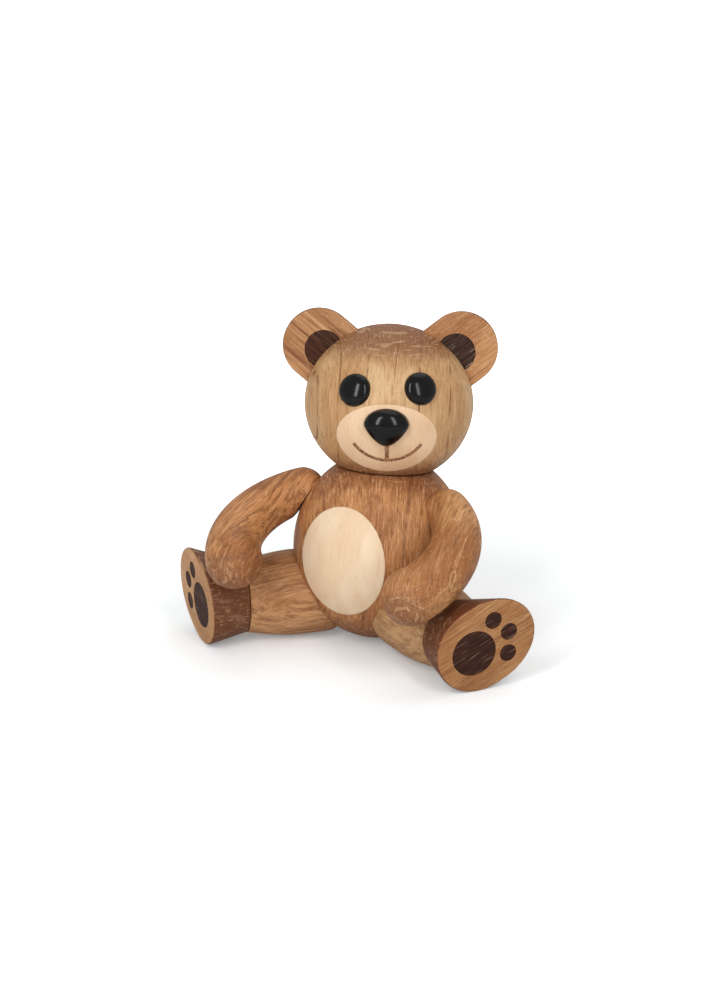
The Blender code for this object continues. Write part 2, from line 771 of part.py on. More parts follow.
def build_leg(body, side):
    """Make one leg and foot with their dowels and bushes, and the hip's socket."""
    leg_place, foot_place = leg_places(side, resting_pitch(side))
    hip = joint("hip_" + side, leg_place)
    ankle = joint("ankle_" + side, moved(leg_place, z=LEG_LENGTH), hip)
    name = "leg_" + side
    end = LEG_LENGTH - 0.5 * CLEARANCE
    leg_rings = turned(leg_outline(0.0, LEG_ROOT, end, ANKLE_EDGE), LEG_SIDES)
    leg = solid(name, leg_rings, leg_place, oak(name, 186, 144, 98), hip)
    socket_floor = -LEG_ROOT - CLEARANCE
    socket_rings = turned(leg_outline(CLEARANCE, -socket_floor, SOCKET_MOUTH, 0.0), LEG_SIDES)
    shape_by(body, as_tool(solid("hip_socket_tool_" + side, socket_rings, leg_place)))

    inner = socket_floor - HIP_BUSH_LENGTH
    name = "hip_bush_" + side
    bush(name, HIP_DOWEL_RADIUS + CLEARANCE, HIP_BUSH_RADIUS, inner, socket_floor, leg_place, None)
    bore = HIP_BUSH_RADIUS + CLEARANCE
    shape_by(body, bore_tool("hip_bore_tool_" + side, bore, inner - CLEARANCE, -LEG_ROOT, leg_place))
    top = HIP_DOWEL_IN_LEG - LEG_ROOT
    name = "hip_dowel_" + side
    solid(name, dowel_rings(HIP_DOWEL_RADIUS, inner + CLEARANCE, top), leg_place, beech(name), hip)
    hole = HIP_DOWEL_RADIUS + CLEARANCE
    shape_by(leg, bore_tool("hip_hole_tool_" + side, hole, socket_floor, top + CLEARANCE, leg_place))

    name = "foot_" + side
    foot = solid(name, foot_rings(), foot_place, oak(name, 170, 114, 74), ankle)
    inner = -0.5 * CLEARANCE - ANKLE_BUSH_LENGTH
    outer = ANKLE_DOWEL_IN_FOOT
    name = "ankle_bush_" + side
    bush(
        name,
        ANKLE_DOWEL_RADIUS + CLEARANCE,
        ANKLE_BUSH_RADIUS,
        inner,
        -0.5 * CLEARANCE,
        moved(leg_place, z=LEG_LENGTH),
        hip,
    )
    bore = ANKLE_BUSH_RADIUS + CLEARANCE
    bush_tool = bore_tool("ankle_bore_tool_" + side, bore, inner - CLEARANCE, 0.0, moved(leg_place, z=LEG_LENGTH))
    shape_by(leg, bush_tool)
    name = "ankle_dowel_" + side
    rings = dowel_rings(ANKLE_DOWEL_RADIUS, inner + CLEARANCE, outer)
    solid(name, rings, foot_place, beech(name), ankle)
    hole = ANKLE_DOWEL_RADIUS + CLEARANCE
    shape_by(foot, bore_tool("ankle_hole_tool_" + side, hole, 0.0, outer + CLEARANCE, foot_place))
    build_pads(foot, foot_place, side, ankle)


def disc(name, spot, radius, low, high, place, material=None, holder=None):
    """Make a flat disc at a spot of a frame."""
    rings = [circle(radius, height) for height in (low, high)]
    return solid(name, rings, moved(place, x=spot[0], y=spot[1]), material, holder)


def build_pads(foot, foot_place, side, holder):
    """Make the dark paw pad and the three toe pads in a sole."""
    place = sole_place(foot_place)
    outer = SIDES[side] * TOE_SIDE
    pads = (
        ("paw_pad_" + side, (0.0, -PAD_BACK), PAD_RADIUS, PAD_DEPTH),
        ("toe_pad_inner_" + side, (-outer, TOE_SIDE_FORWARD), TOE_RADIUS, TOE_DEPTH),
        ("toe_pad_middle_" + side, (0.0, TOE_FORWARD), TOE_RADIUS, TOE_DEPTH),
        ("toe_pad_outer_" + side, (outer, TOE_SIDE_FORWARD), TOE_RADIUS, TOE_DEPTH),
    )
    for name, spot, radius, depth in pads:
        disc(name, spot, radius, -depth, 0.0, place, dark_wood(name), holder)
        floor = -depth - CLEARANCE
        pocket = disc(name + "_pocket_tool", spot, radius + CLEARANCE, floor, SOLE_EDGE, place)
        shape_by(foot, as_tool(pocket))


def main():
    """Clear the scene and build the whole bear."""
    for old in list(bpy.data.objects):
        bpy.data.objects.remove(old, do_unlink=True)
    body = build_body()
    build_head(body)
    for side in SIDES:
        build_arm(body, side)
        build_leg(body, side)


main()
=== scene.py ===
"""Looks of the jointed wooden bear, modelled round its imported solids.

Every piece that shows is shaped here again in fine faces, cut to fit its neighbours
and given its own finish.  The dowels and the bushes inside keep their solids.
Lengths are in metres, and angles in degrees where a name ends in _deg.
"""

import json
import logging
import math
from dataclasses import dataclass, field, replace
from enum import Enum
from typing import Callable, Sequence

import bmesh
import bpy
from mathutils import Matrix, Vector


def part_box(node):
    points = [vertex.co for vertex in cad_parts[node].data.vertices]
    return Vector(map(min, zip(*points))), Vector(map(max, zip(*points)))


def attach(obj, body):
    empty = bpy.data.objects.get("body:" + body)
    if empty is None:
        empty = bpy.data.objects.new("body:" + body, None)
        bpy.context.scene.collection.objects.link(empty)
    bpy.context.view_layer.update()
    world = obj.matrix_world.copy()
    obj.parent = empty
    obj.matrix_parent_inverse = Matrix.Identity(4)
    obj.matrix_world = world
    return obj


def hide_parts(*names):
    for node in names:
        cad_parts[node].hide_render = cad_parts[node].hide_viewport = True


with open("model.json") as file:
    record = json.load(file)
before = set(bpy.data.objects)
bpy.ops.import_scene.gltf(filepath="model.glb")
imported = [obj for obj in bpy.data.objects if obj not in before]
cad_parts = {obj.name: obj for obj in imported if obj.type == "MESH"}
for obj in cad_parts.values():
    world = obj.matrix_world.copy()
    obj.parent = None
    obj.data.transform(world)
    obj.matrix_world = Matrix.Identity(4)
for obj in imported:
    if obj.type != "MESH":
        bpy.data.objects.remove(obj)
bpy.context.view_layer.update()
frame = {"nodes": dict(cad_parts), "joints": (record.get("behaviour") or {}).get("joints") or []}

log = logging.getLogger("bear")

Colour = tuple[float, float, float]
UP = Vector((0.0, 0.0, 1.0))
FORWARD = Vector((0.0, -1.0, 0.0))
MILLIMETRES = 1000.0
TINY = 0.00001  # below this, two places count as one
SEAM = 0.0001  # the open line round a plug
FINE_SEAM = 0.00004  # the open line round a pale oval
ROOM = 0.0003  # what a bore or a pocket has to spare
PROUD = 0.001  # how far a tool stands out of the surface that it cuts
SMOOTH_BELOW = math.radians(35.0)
SHARP_ABOVE = math.radians(50.0)
ALONG = Matrix.Rotation(-0.5 * math.pi, 4, "X")  # turns the grain along a frame's Y


class Side(Enum):
    """The bear's own left and right, as the sign of X."""

    LEFT = 1.0
    RIGHT = -1.0

    @property
    def word(self) -> str:
        """Give the side as the last word of a name."""
        return self.name.lower()


class Part(Enum):
    """What an edit works on."""

    POINTS = "VERT"
    EDGES = "EDGE"
    FACES = "FACE"


class Cut(Enum):
    """What a tool does to a piece."""

    AWAY = "DIFFERENCE"
    JOIN = "UNION"


def linear(colour: Colour) -> tuple[float, float, float, float]:
    """Turn a colour of 0 to 255 into the shader's linear values.

    Args:
        colour: Red, green and blue as a screen shows them.

    Returns:
        The same colour in linear light, with full alpha.
    """
    shares = [part / 255.0 for part in colour]
    values = [s / 12.92 if s <= 0.04045 else ((s + 0.055) / 1.055) ** 2.4 for s in shares]
    return (values[0], values[1], values[2], 1.0)


def moved(place: Matrix, x: float = 0.0, y: float = 0.0, z: float = 0.0) -> Matrix:
    """Shift a frame along its own axes."""
    return place @ Matrix.Translation((x, y, z))


def frame_at(point: Vector, outward: Vector, up: Vector = UP) -> Matrix:
    """Give a frame whose Z points outward and whose Y points as near up as it can.

    Args:
        point: The origin of the frame.
        outward: The direction of its Z.
        up: The direction that its Y is turned towards.

    Returns:
        The frame.
    """
    z_axis = outward.normalized()
    x_axis = up.cross(z_axis).normalized()
    turn = Matrix((x_axis, z_axis.cross(x_axis), z_axis)).transposed()
    return Matrix.Translation(point) @ turn.to_4x4()


def joint_place(name: str) -> tuple[Vector, Vector]:
    """Find a joint of the frame, and give a point on its axis and the axis."""
    found = next(item for item in frame["joints"] if item["name"] == name)
    return Vector(found["pos_m"]), Vector(found["axis"]).normalized()


def limb_place(name: str, side: Side) -> Matrix:
    """Give the frame of a limb's joint, with Z along its axis and out of the body."""
    point, axis = joint_place(name + "_" + side.word)
    return frame_at(point, axis if axis.x * side.value > 0.0 else -axis)


def deselect_all() -> None:
    """Leave edit mode and clear the selection."""
    if bpy.context.object is not None and bpy.context.object.mode != "OBJECT":
        bpy.ops.object.mode_set(mode="OBJECT")
    bpy.ops.object.select_all(action="DESELECT")


class Blank:
    """One piece on the bench: a primitive that is shaped step by step."""

    def __init__(self, name: str) -> None:
        """Take the newest primitive as the blank.

        Args:
            name: The piece's name.
        """
        self.piece = bpy.context.object
        self.piece.name = name
        self.piece.data.name = name
        bpy.ops.object.transform_apply(location=True, rotation=True, scale=True)

    @classmethod
    def disc(cls, name: str, radius: float, height: float, sides: int) -> "Blank":
        """Start from a flat disc at a height above the origin."""
        deselect_all()
        bpy.ops.mesh.primitive_circle_add(
            vertices=sides, radius=radius, fill_type="NGON", location=(0.0, 0.0, height)
        )
        return cls(name)

    @classmethod
    def ball(cls, name: str, radius: float, half_height: float) -> "Blank":
        """Start from a ball that is stretched to an egg.

        Args:
            name: The piece's name.
            radius: The egg's radius.
            half_height: Half of its height.

        Returns:
            The egg, standing on its middle.
        """
        sides = 160
        rings = 100
        deselect_all()
        bpy.ops.mesh.primitive_uv_sphere_add(segments=sides, ring_count=rings, radius=radius)
        blank = cls(name)
        blank.open()
        blank.resize((1.0, 1.0, half_height / radius))
        blank.close()
        return blank

    @classmethod
    def turned(cls, name: str, outline: Sequence[tuple[float, float]], sides: int = 96) -> "Blank":
        """Turn a piece about Z, drawn up ring by ring from a disc.

        Args:
            name: The piece's name.
            outline: Its (height, radius) pairs, low to high.
            sides: How many faces go round it.

        Returns:
            The turned piece, closed at both ends.
        """
        height, radius = outline[0][0], max(outline[0][1], TINY)
        blank = cls.disc(name, radius, height, sides)
        blank.open()
        for next_height, next_radius in outline[1:]:
            blank.draw_up((0.0, 0.0, next_height - height))
            height = next_height
            growth = max(next_radius, TINY) / radius
            radius = max(next_radius, TINY)
            blank.resize((growth, growth, 1.0))
        blank.settle()
        return blank

    def hold(self) -> None:
        """Select the blank alone and make it the active piece."""
        deselect_all()
        self.piece.select_set(True)
        bpy.context.view_layer.objects.active = self.piece

    def open(self) -> None:
        """Go into edit mode with all of the blank selected."""
        self.hold()
        bpy.ops.object.mode_set(mode="EDIT")
        bpy.ops.mesh.select_all(action="SELECT")

    def close(self) -> None:
        """Go back to object mode."""
        bpy.ops.object.mode_set(mode="OBJECT")

    def settle(self) -> None:
        """Join doubled points, turn all faces outward and leave edit mode."""
        bpy.ops.mesh.select_all(action="SELECT")
        bpy.ops.mesh.remove_doubles(threshold=3.0 * TINY)
        bpy.ops.mesh.normals_make_consistent(inside=False)
        self.close()

    def clear(self, kind: Part) -> None:
        """Deselect all in edit mode, where points, edges or faces are picked next."""
        bpy.ops.mesh.select_mode(type=kind.value)
        bpy.ops.mesh.select_all(action="DESELECT")

    def pick(self, test: Callable[[Vector], bool], kind: Part = Part.POINTS) -> None:
        """Select what passes a test on its middle, in edit mode.

        Args:
            test: Says of a middle, in the blank's own frame, whether it counts.
            kind: Whether points, edges or faces are picked.
        """
        self.clear(kind)
        shape = bmesh.from_edit_mesh(self.piece.data)
        if kind is Part.FACES:
            middles = [(face, face.calc_center_median()) for face in shape.faces]
        elif kind is Part.EDGES:
            middles = [(edge, (edge.verts[0].co + edge.verts[1].co) / 2.0) for edge in shape.edges]
        else:
            middles = [(point, point.co) for point in shape.verts]
        for item, middle in middles:
            item.select_set(test(middle))
        bmesh.update_edit_mesh(self.piece.data)

    def draw_up(self, shift: tuple[float, float, float] = (0.0, 0.0, 0.0)) -> None:
        """Extrude what is selected and shift the new ring."""
        bpy.ops.mesh.extrude_region_move(TRANSFORM_OT_translate={"value": shift})

    def resize(self, share: tuple[float, float, float], centre: Vector | None = None) -> None:
        """Scale what is selected about its middle or a given centre."""
        if centre is None:
            bpy.ops.transform.resize(value=share)
        else:
            bpy.ops.transform.resize(value=share, center_override=tuple(centre))

    def turn(self, angle: float, axis: str, centre: tuple[float, float, float]) -> None:
        """Turn what is selected, right-handed and in radians, about an axis through a centre."""
        bpy.ops.transform.rotate(value=-angle, orient_axis=axis, center_override=centre)

    def ease(self, width: float, segments: int) -> None:
        """Bevel the sharp edges, in edit mode."""
        self.clear(Part.EDGES)
        bpy.ops.mesh.edges_select_sharp(sharpness=SHARP_ABOVE)
        bpy.ops.mesh.bevel(offset=width, segments=segments, affect="EDGES")

    def slice(self, point: Vector, normal: Vector, edge: float = 0.0) -> None:
        """Saw the blank along a plane and drop what lies on the normal's side.

        Args:
            point: A point of the plane.
            normal: The side that falls away.
            edge: The width of the bevel round the fresh face, or 0 for none.
        """
        self.open()
        bpy.ops.mesh.bisect(
            plane_co=tuple(point),
            plane_no=tuple(normal),
            use_fill=True,
            clear_outer=True,
            threshold=0.1 * TINY,
        )
        if edge > 0.0:
            bpy.ops.mesh.bevel(offset=edge, segments=4, affect="EDGES", profile=0.5)
        self.settle()

    def put(self, place: Matrix) -> "Blank":
        """Carry the blank to a frame, apply that to its mesh, and give the blank back."""
        self.hold()
        self.piece.matrix_world = place @ self.piece.matrix_world
        bpy.ops.object.transform_apply(location=True, rotation=True, scale=True)
        return self

    def by(self, tool: "Blank", cut: Cut = Cut.AWAY) -> None:
        """Shape the blank by a tool, which is used up.

        Args:
            tool: The tool.
            cut: What the tool does.
        """
        self.hold()
        change = self.piece.modifiers.new(tool.piece.name, "BOOLEAN")
        change.operation = cut.value
        change.solver = "EXACT"
        change.material_mode = "TRANSFER"
        change.object = tool.piece
        bpy.ops.object.modifier_apply(modifier=change.name)
        tool.scrap()

    def scrap(self) -> None:
        """Take the blank off the bench for good."""
        bpy.data.objects.remove(self.piece, do_unlink=True)

    def dress(self, material: bpy.types.Material) -> None:
        """Give the blank one material, or change its first one."""
        if self.piece.data.materials:
            self.piece.data.materials[0] = material
        else:
            self.piece.data.materials.append(material)

    def finish(self, body: str, node: str, slot: str, material: bpy.types.Material) -> None:
        """Smooth and dress the blank, and hang it on its body.

        Args:
            body: The body that it moves with.
            node: The solid that it stands for.
            slot: The record's slot of its finish; not used.
            material: Its material.
        """
        self.hold()
        bpy.ops.object.shade_smooth_by_angle(angle=SMOOTH_BELOW)
        self.dress(material)
        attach(self.piece, body)
        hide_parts(node)
        log.info("%s: %d faces, rides on %s", self.piece.name, len(self.piece.data.polygons), body)


def oval_rod(name: str, half_width: float, half_length: float, low: float, high: float) -> Blank:
    """Make a straight rod of oval section along Z.

    Args:
        name: The tool's name.
        half_width: Half of its size along X.
        half_length: Half of its size along Y.
        low: The height of its lower end.
        high: The height of its upper end.

    Returns:
        The rod.
    """
    rod = Blank.turned(name, [(low, half_width), (high, half_width)])
    rod.open()
    rod.resize((1.0, half_length / half_width, 1.0), Vector())
    rod.close()
    return rod


class Wire:
    """A shader socket that adds Math nodes when it is used in an expression."""

    def __init__(self, graph: "Graph", socket: bpy.types.NodeSocket) -> None:
        """Wrap a socket of a graph."""
        self.graph = graph
        self.socket = socket

    def __add__(self, other: "Wire | float") -> "Wire":
        """Add."""
        return self.graph.maths("ADD", self, other)

    __radd__ = __add__

    def __sub__(self, other: "Wire | float") -> "Wire":
        """Subtract."""
        return self.graph.maths("SUBTRACT", self, other)

    def __rsub__(self, other: float) -> "Wire":
        """Subtract from a number."""
        return self.graph.maths("SUBTRACT", other, self)

    def __mul__(self, other: "Wire | float") -> "Wire":
        """Multiply."""
        return self.graph.maths("MULTIPLY", self, other)

    __rmul__ = __mul__


class Graph:
    """The nodes of one material."""

    def __init__(self, name: str) -> None:
        """Start a material with one shader.

        Args:
            name: The material's name.
        """
        self.material = bpy.data.materials.new(name)
        self.material.use_nodes = True
        self.tree = self.material.node_tree
        self.shader = self.tree.nodes["Principled BSDF"]

    def node(
        self, kind: str, settings: dict[str, object], values: dict[int | str, object], out: int | str = 0
    ) -> Wire:
        """Add one node.

        Args:
            kind: The node's type, without the words Shader and Node.
            settings: Its properties.
            values: A value or a wire for each of its sockets.
            out: The output that is wanted.

        Returns:
            The wire from that output.
        """
        made = self.tree.nodes.new("ShaderNode" + kind)
        for key, value in settings.items():
            setattr(made, key, value)
        for key, value in values.items():
            self.feed(made.inputs[key], value)
        return Wire(self, made.outputs[out])

    def feed(self, socket: bpy.types.NodeSocket, value: object) -> None:
        """Link a wire to a socket, or set the socket to a value."""
        if isinstance(value, Wire):
            self.tree.links.new(value.socket, socket)
        else:
            socket.default_value = value

    def maths(self, operation: str, *values: "Wire | float") -> Wire:
        """Add a Math node on one or two values."""
        return self.node("Math", {"operation": operation}, dict(enumerate(values)))

    def vector(self, operation: str, *values: object, out: int | str = 0) -> Wire:
        """Add a Vector Math node on one or two vectors."""
        return self.node("VectorMath", {"operation": operation}, dict(enumerate(values)), out)

    def mix(self, share: "Wire | float", first: "Wire | Colour", second: Colour) -> Wire:
        """Mix two colours by a share."""
        first = first if isinstance(first, Wire) else linear(first)
        return self.node("Mix", {"data_type": "RGBA"}, {0: share, 6: first, 7: linear(second)}, 2)

    def coated(self, tone: Wire, coats: Sequence[tuple[Wire, float, Colour]]) -> Wire:
        """Lay colours over a tone, one after the other.

        Args:
            tone: The colour below.
            coats: The place of each coat as a mask, its strength and its colour.

        Returns:
            The colour above.
        """
        for mask, strength, colour in coats:
            if strength > 0.0:
                tone = self.mix(mask * strength, tone, colour)
        return tone

    def cloud(
        self,
        here: Wire,
        bumps: tuple[float, float, float],
        detail: float = 1.0,
        roughness: float = 0.5,
        shift: float = 0.0,
    ) -> Wire:
        """Give soft noise, from 0 to 1.

        Args:
            here: The place on the piece.
            bumps: How many bumps there are to a millimetre along X, Y and Z.
            detail: How many finer layers it has.
            roughness: How strong they are.
            shift: Moves the pattern, so that two pieces differ.

        Returns:
            The noise.
        """
        vector = self.vector("MULTIPLY", here, bumps)
        if shift:
            vector = self.vector("ADD", vector, (shift, shift, shift))
        sockets = {"Vector": vector, "Scale": 1.0, "Detail": detail, "Roughness": roughness}
        return self.node("TexNoise", {}, sockets)

    def step(self, value: Wire, low: float, high: float) -> Wire:
        """Rise smoothly from 0 at the first number to 1 at the second, which may be lower."""
        sockets = {"Value": value, "From Min": low, "From Max": high}
        return self.node("MapRange", {"interpolation_type": "SMOOTHSTEP"}, sockets)

    def local(self, place: Matrix) -> Wire:
        """Give the place on the piece, in millimetres, in a frame of its own.

        Args:
            place: The frame, whose Z runs along the grain.

        Returns:
            The place as a vector.
        """
        here = self.node("TexCoord", {}, {}, "Object")
        sockets = {"Vector": here, "Location": place.to_translation(), "Rotation": place.to_euler()}
        turned = self.node("Mapping", {"vector_type": "TEXTURE"}, sockets)
        return self.vector("MULTIPLY", turned, (MILLIMETRES, MILLIMETRES, MILLIMETRES))

    def facing(self, direction: Vector) -> Wire:
        """Give how squarely the surface faces along a direction, from 0 to 1."""
        normal = self.node("TexCoord", {}, {}, "Normal")
        return self.maths("ABSOLUTE", self.vector("DOT_PRODUCT", normal, direction, out="Value"))

    def close(
        self,
        colour: Wire,
        roughness: "Wire | float",
        height: Wire | None = None,
        depth: float = 0.0,
        shine: float = 0.5,
    ) -> bpy.types.Material:
        """Connect the shader.

        Args:
            colour: The base colour.
            roughness: The roughness.
            height: The relief, from 0 to 1, or None for none.
            depth: The depth of the relief in metres.
            shine: The strength of the surface's reflection, where 0.5 is plain.

        Returns:
            The finished material.
        """
        self.feed(self.shader.inputs["Base Color"], colour)
        self.feed(self.shader.inputs["Roughness"], roughness)
        self.shader.inputs["Specular IOR Level"].default_value = shine
        if height is not None:
            relief = self.node("Bump", {}, {"Height": height, "Distance": depth, "Strength": 1.0})
            self.feed(self.shader.inputs["Normal"], relief)
        return self.material


@dataclass(frozen=True)
class Oak:
    """Oiled oak: straight growth lines, streaks, pores and pale flecks in a solid block."""

    base: Colour = (205, 160, 116)
    warm: Colour = (186, 132, 88)
    dark: Colour = (118, 72, 42)
    pale: Colour = (226, 186, 144)
    end: Colour = (132, 88, 60)
    ring_gap: float = 9.0
    ring_dark: float = 0.6
    streak_dark: float = 0.4
    streak_pale: float = 0.35
    streak_width: float = 0.6
    streak_length: float = 12.0
    streak_sheet: float = 0.25
    pore_dark: float = 0.45
    fleck_pale: float = 0.3
    mark_pale: float = 0.3
    blot_dark: float = 0.25
    ridge_pale: float = 0.15
    end_dark: float = 0.75
    end_from: float = 0.55
    end_full: float = 0.85
    side_dark: float = 0.0
    side_from: float = 0.85
    side_full: float = 0.5
    pith: tuple[float, float] = (60.0, 18.0)
    seed: float = 0.0

    def dress(self, name: str, place: Matrix) -> bpy.types.Material:
        """Make the material of one piece.

        Args:
            name: The material's name.
            place: The frame of the block, with Z along the grain and X across the growth lines.

        Returns:
            The material.
        """
        graph = Graph(name)
        here = graph.local(place)
        turn = place.to_3x3()
        seed = self.seed

        drift = graph.cloud(here, (0.10, 0.03, 0.008), 0.0, 0.5, seed) - 0.5
        flat = graph.vector("MULTIPLY", here, (1.0, 1.0, 0.0))
        reach = graph.vector("LENGTH", graph.vector("ADD", flat, (*self.pith, 0.0)), out="Value")
        tooth = graph.maths("FRACT", (reach + drift * 6.0) * (1.0 / self.ring_gap))
        broken = graph.cloud(here, (0.3, 0.3, 0.09), shift=seed + 1.7)
        line = graph.step(tooth, 0.90, 0.975) * graph.step(tooth, 1.0, 0.98)
        lines = line * graph.step(broken, 0.34, 0.58)

        thin = 1.0 / self.streak_width
        bumps = (thin, thin * self.streak_sheet, 1.0 / self.streak_length)
        streak = graph.cloud(here, bumps, 3.0, 0.62, seed + 3.1)
        patch = graph.cloud(here, (0.22, 0.22, 0.07), 2.0, 0.6, seed + 5.3)
        pore = graph.cloud(here, (3.4, 3.4, 0.34), shift=seed + 7.7)
        pores = graph.step(pore, 0.60, 0.70) * (0.35 + 0.65 * graph.step(patch, 0.30, 0.66))
        fleck = graph.cloud(here, (2.4, 2.4, 0.55), 2.0, 0.6, seed + 12.3)
        blot = graph.cloud(here, (0.5, 0.4, 0.12), 3.0, 0.65, seed + 9.1)
        ridge = graph.cloud(here, (0.09, 0.09, 0.045), 1.0, 0.4, seed + 27.3) - 0.5
        ridges = graph.step(graph.maths("ABSOLUTE", ridge), 0.009, 0.002) * graph.step(fleck, 0.36, 0.5)
        zone = graph.cloud(here, (0.07, 0.07, 0.03), 2.0, 0.5, seed + 21.9)
        across = graph.step(graph.facing(turn @ UP), self.end_from, self.end_full)
        aside = graph.step(graph.facing(turn @ FORWARD), self.side_from, self.side_full)
        mark = graph.cloud(here, (0.16, 0.16, 1.7), shift=seed + 17.1)

        tone = graph.mix(graph.step(zone, 0.36, 0.62), self.base, self.warm)
        coats = (
            (across, self.end_dark, self.end),
            (aside, self.side_dark, self.end),
            (graph.step(blot, 0.50, 0.62), self.blot_dark, self.dark),
            (graph.step(streak, 0.50, 0.30), self.streak_dark, self.dark),
            (graph.step(streak, 0.52, 0.72), self.streak_pale, self.pale),
            (lines, self.ring_dark, self.dark),
            (graph.step(fleck, 0.60, 0.72), self.fleck_pale, self.pale),
            (graph.step(mark, 0.60, 0.68) * across, self.mark_pale, self.pale),
            (ridges, self.ridge_pale, self.pale),
            (pores, self.pore_dark, self.dark),
        )
        relief = 1.0 - pores * 0.5 - lines * 0.6 + streak * 0.5
        roughness = 0.46 + pores * 0.2 + streak * 0.08
        return graph.close(graph.coated(tone, coats), roughness, relief, depth=0.00006, shine=0.25)


@dataclass(frozen=True)
class Maple:
    """Pale close-grained wood with faint upright streaks."""

    base: Colour = (238, 212, 180)
    warm: Colour = (230, 198, 162)
    dark: Colour = (206, 168, 130)
    seed: float = 0.0

    def dress(self, name: str, place: Matrix) -> bpy.types.Material:
        """Make the material of one piece in its own frame, with Z along the grain."""
        graph = Graph(name)
        here = graph.local(place)
        zone = graph.cloud(here, (0.12, 0.12, 0.05), shift=self.seed)
        grain = graph.cloud(here, (1.1, 1.1, 0.06), 3.0, 0.6, self.seed + 2.3)
        fleck = graph.cloud(here, (2.6, 2.6, 0.5), shift=self.seed + 5.9)
        tone = graph.mix(graph.step(zone, 0.35, 0.65), self.base, self.warm)
        coats = (
            (graph.step(grain, 0.5, 0.25), 0.35, self.dark),
            (graph.step(fleck, 0.62, 0.75), 0.25, self.dark),
        )
        tone = graph.coated(tone, coats)
        return graph.close(tone, 0.40 + grain * 0.1, grain, depth=0.00002, shine=0.25)


@dataclass(frozen=True)
class DarkWood:
    """Dark brown wood with fine pale streaks."""

    base: Colour = (62, 34, 24)
    dark: Colour = (40, 22, 15)
    pale: Colour = (132, 104, 88)
    streaks: float = 0.6
    seed: float = 0.0

    def dress(self, name: str, place: Matrix) -> bpy.types.Material:
        """Make the material of one piece in its own frame, with Z along the grain."""
        graph = Graph(name)
        here = graph.local(place)
        grain = graph.cloud(here, (1.3, 1.3, 0.09), 3.0, 0.6, self.seed)
        thread = graph.cloud(here, (2.6, 2.6, 0.14), shift=self.seed + 4.4)
        threads = graph.step(thread, 0.63, 0.72)
        tone = graph.mix(graph.step(grain, 0.35, 0.6), self.dark, self.base)
        tone = graph.coated(tone, [(threads, self.streaks, self.pale)])
        return graph.close(tone, 0.56 + grain * 0.1, grain - threads * 0.4, depth=0.00004, shine=0.12)


@dataclass(frozen=True)
class BlackGloss:
    """Polished black with the faint waves of a hand-dipped bead."""

    base: Colour = (5, 5, 6)
    worn: Colour = (12, 12, 13)

    def dress(self, name: str, place: Matrix) -> bpy.types.Material:
        """Make the material of one piece in its own frame."""
        graph = Graph(name)
        cloud = graph.cloud(graph.local(place), (0.35, 0.35, 0.35), 2.0)
        tone = graph.mix(cloud, self.base, self.worn)
        return graph.close(tone, 0.12 + cloud * 0.08, cloud, depth=0.00003, shine=0.25)


@dataclass(frozen=True)
class Burnt:
    """The brown floor of a line cut into the muzzle."""

    base: Colour = (190, 142, 104)
    dark: Colour = (112, 70, 44)

    def dress(self, name: str, place: Matrix) -> bpy.types.Material:
        """Make the material of the cut line in the face's frame."""
        graph = Graph(name)
        speckle = graph.cloud(graph.local(place), (2.0, 2.0, 2.0), 2.0, 0.7)
        tone = graph.mix(graph.step(speckle, 0.42, 0.58), self.dark, self.base)
        return graph.close(tone, 0.6, speckle, depth=0.00006)


@dataclass(frozen=True)
class Beech:
    """Bare turned beech of the dowels inside."""

    base: Colour = (214, 178, 132)
    dark: Colour = (176, 132, 90)

    def dress(self, name: str, place: Matrix) -> bpy.types.Material:
        """Make the material of one dowel, with Z along it."""
        graph = Graph(name)
        grain = graph.cloud(graph.local(place), (1.6, 1.6, 0.2), 3.0, 0.6)
        tone = graph.mix(graph.step(grain, 0.55, 0.35), self.base, self.dark)
        return graph.close(tone, 0.5 + grain * 0.2, grain, depth=0.00003)


@dataclass(frozen=True)
class BushRubber:
    """Matte dark rubber of the friction bushes inside."""

    base: Colour = (38, 36, 34)
    dusty: Colour = (62, 59, 56)

    def dress(self, name: str, place: Matrix) -> bpy.types.Material:
        """Make the material of one bush."""
        graph = Graph(name)
        dust = graph.cloud(graph.local(place), (0.9, 0.9, 0.9), 3.0, 0.6)
        tone = graph.mix(graph.step(dust, 0.45, 0.7), self.base, self.dusty)
        return graph.close(tone, 0.7 + dust * 0.2, dust, depth=0.00004)


def dome(radius: float, rise: float, steps: int = 14) -> list[tuple[float, float]]:
    """Give the (height, radius) pairs of a dome from its rim to its top.

    Args:
        radius: The radius of the rim, at height 0.
        rise: The height of the top.
        steps: How many rings it takes.

    Returns:
        The pairs, low to high.
    """
    pairs = []
    for step in range(steps + 1):
        angle = 0.5 * math.pi * step / steps
        pairs.append((rise * math.sin(angle), radius * math.cos(angle)))
    return pairs


def rod(name: str, radius: float, low: float, high: float, place: Matrix, sides: int = 64) -> Blank:
    """Make a round rod along the Z of a place."""
    return Blank.turned(name, [(low, radius), (high, radius)], sides).put(place)


def plug(name: str, radius: float, depth: float, edge: float, place: Matrix) -> Blank:
    """Make a round plug with a bevelled rim, whose face lies at the origin of a place."""
    return Blank.turned(name, [(-depth, radius), (-edge, radius), (0.0, radius - edge)]).put(place)


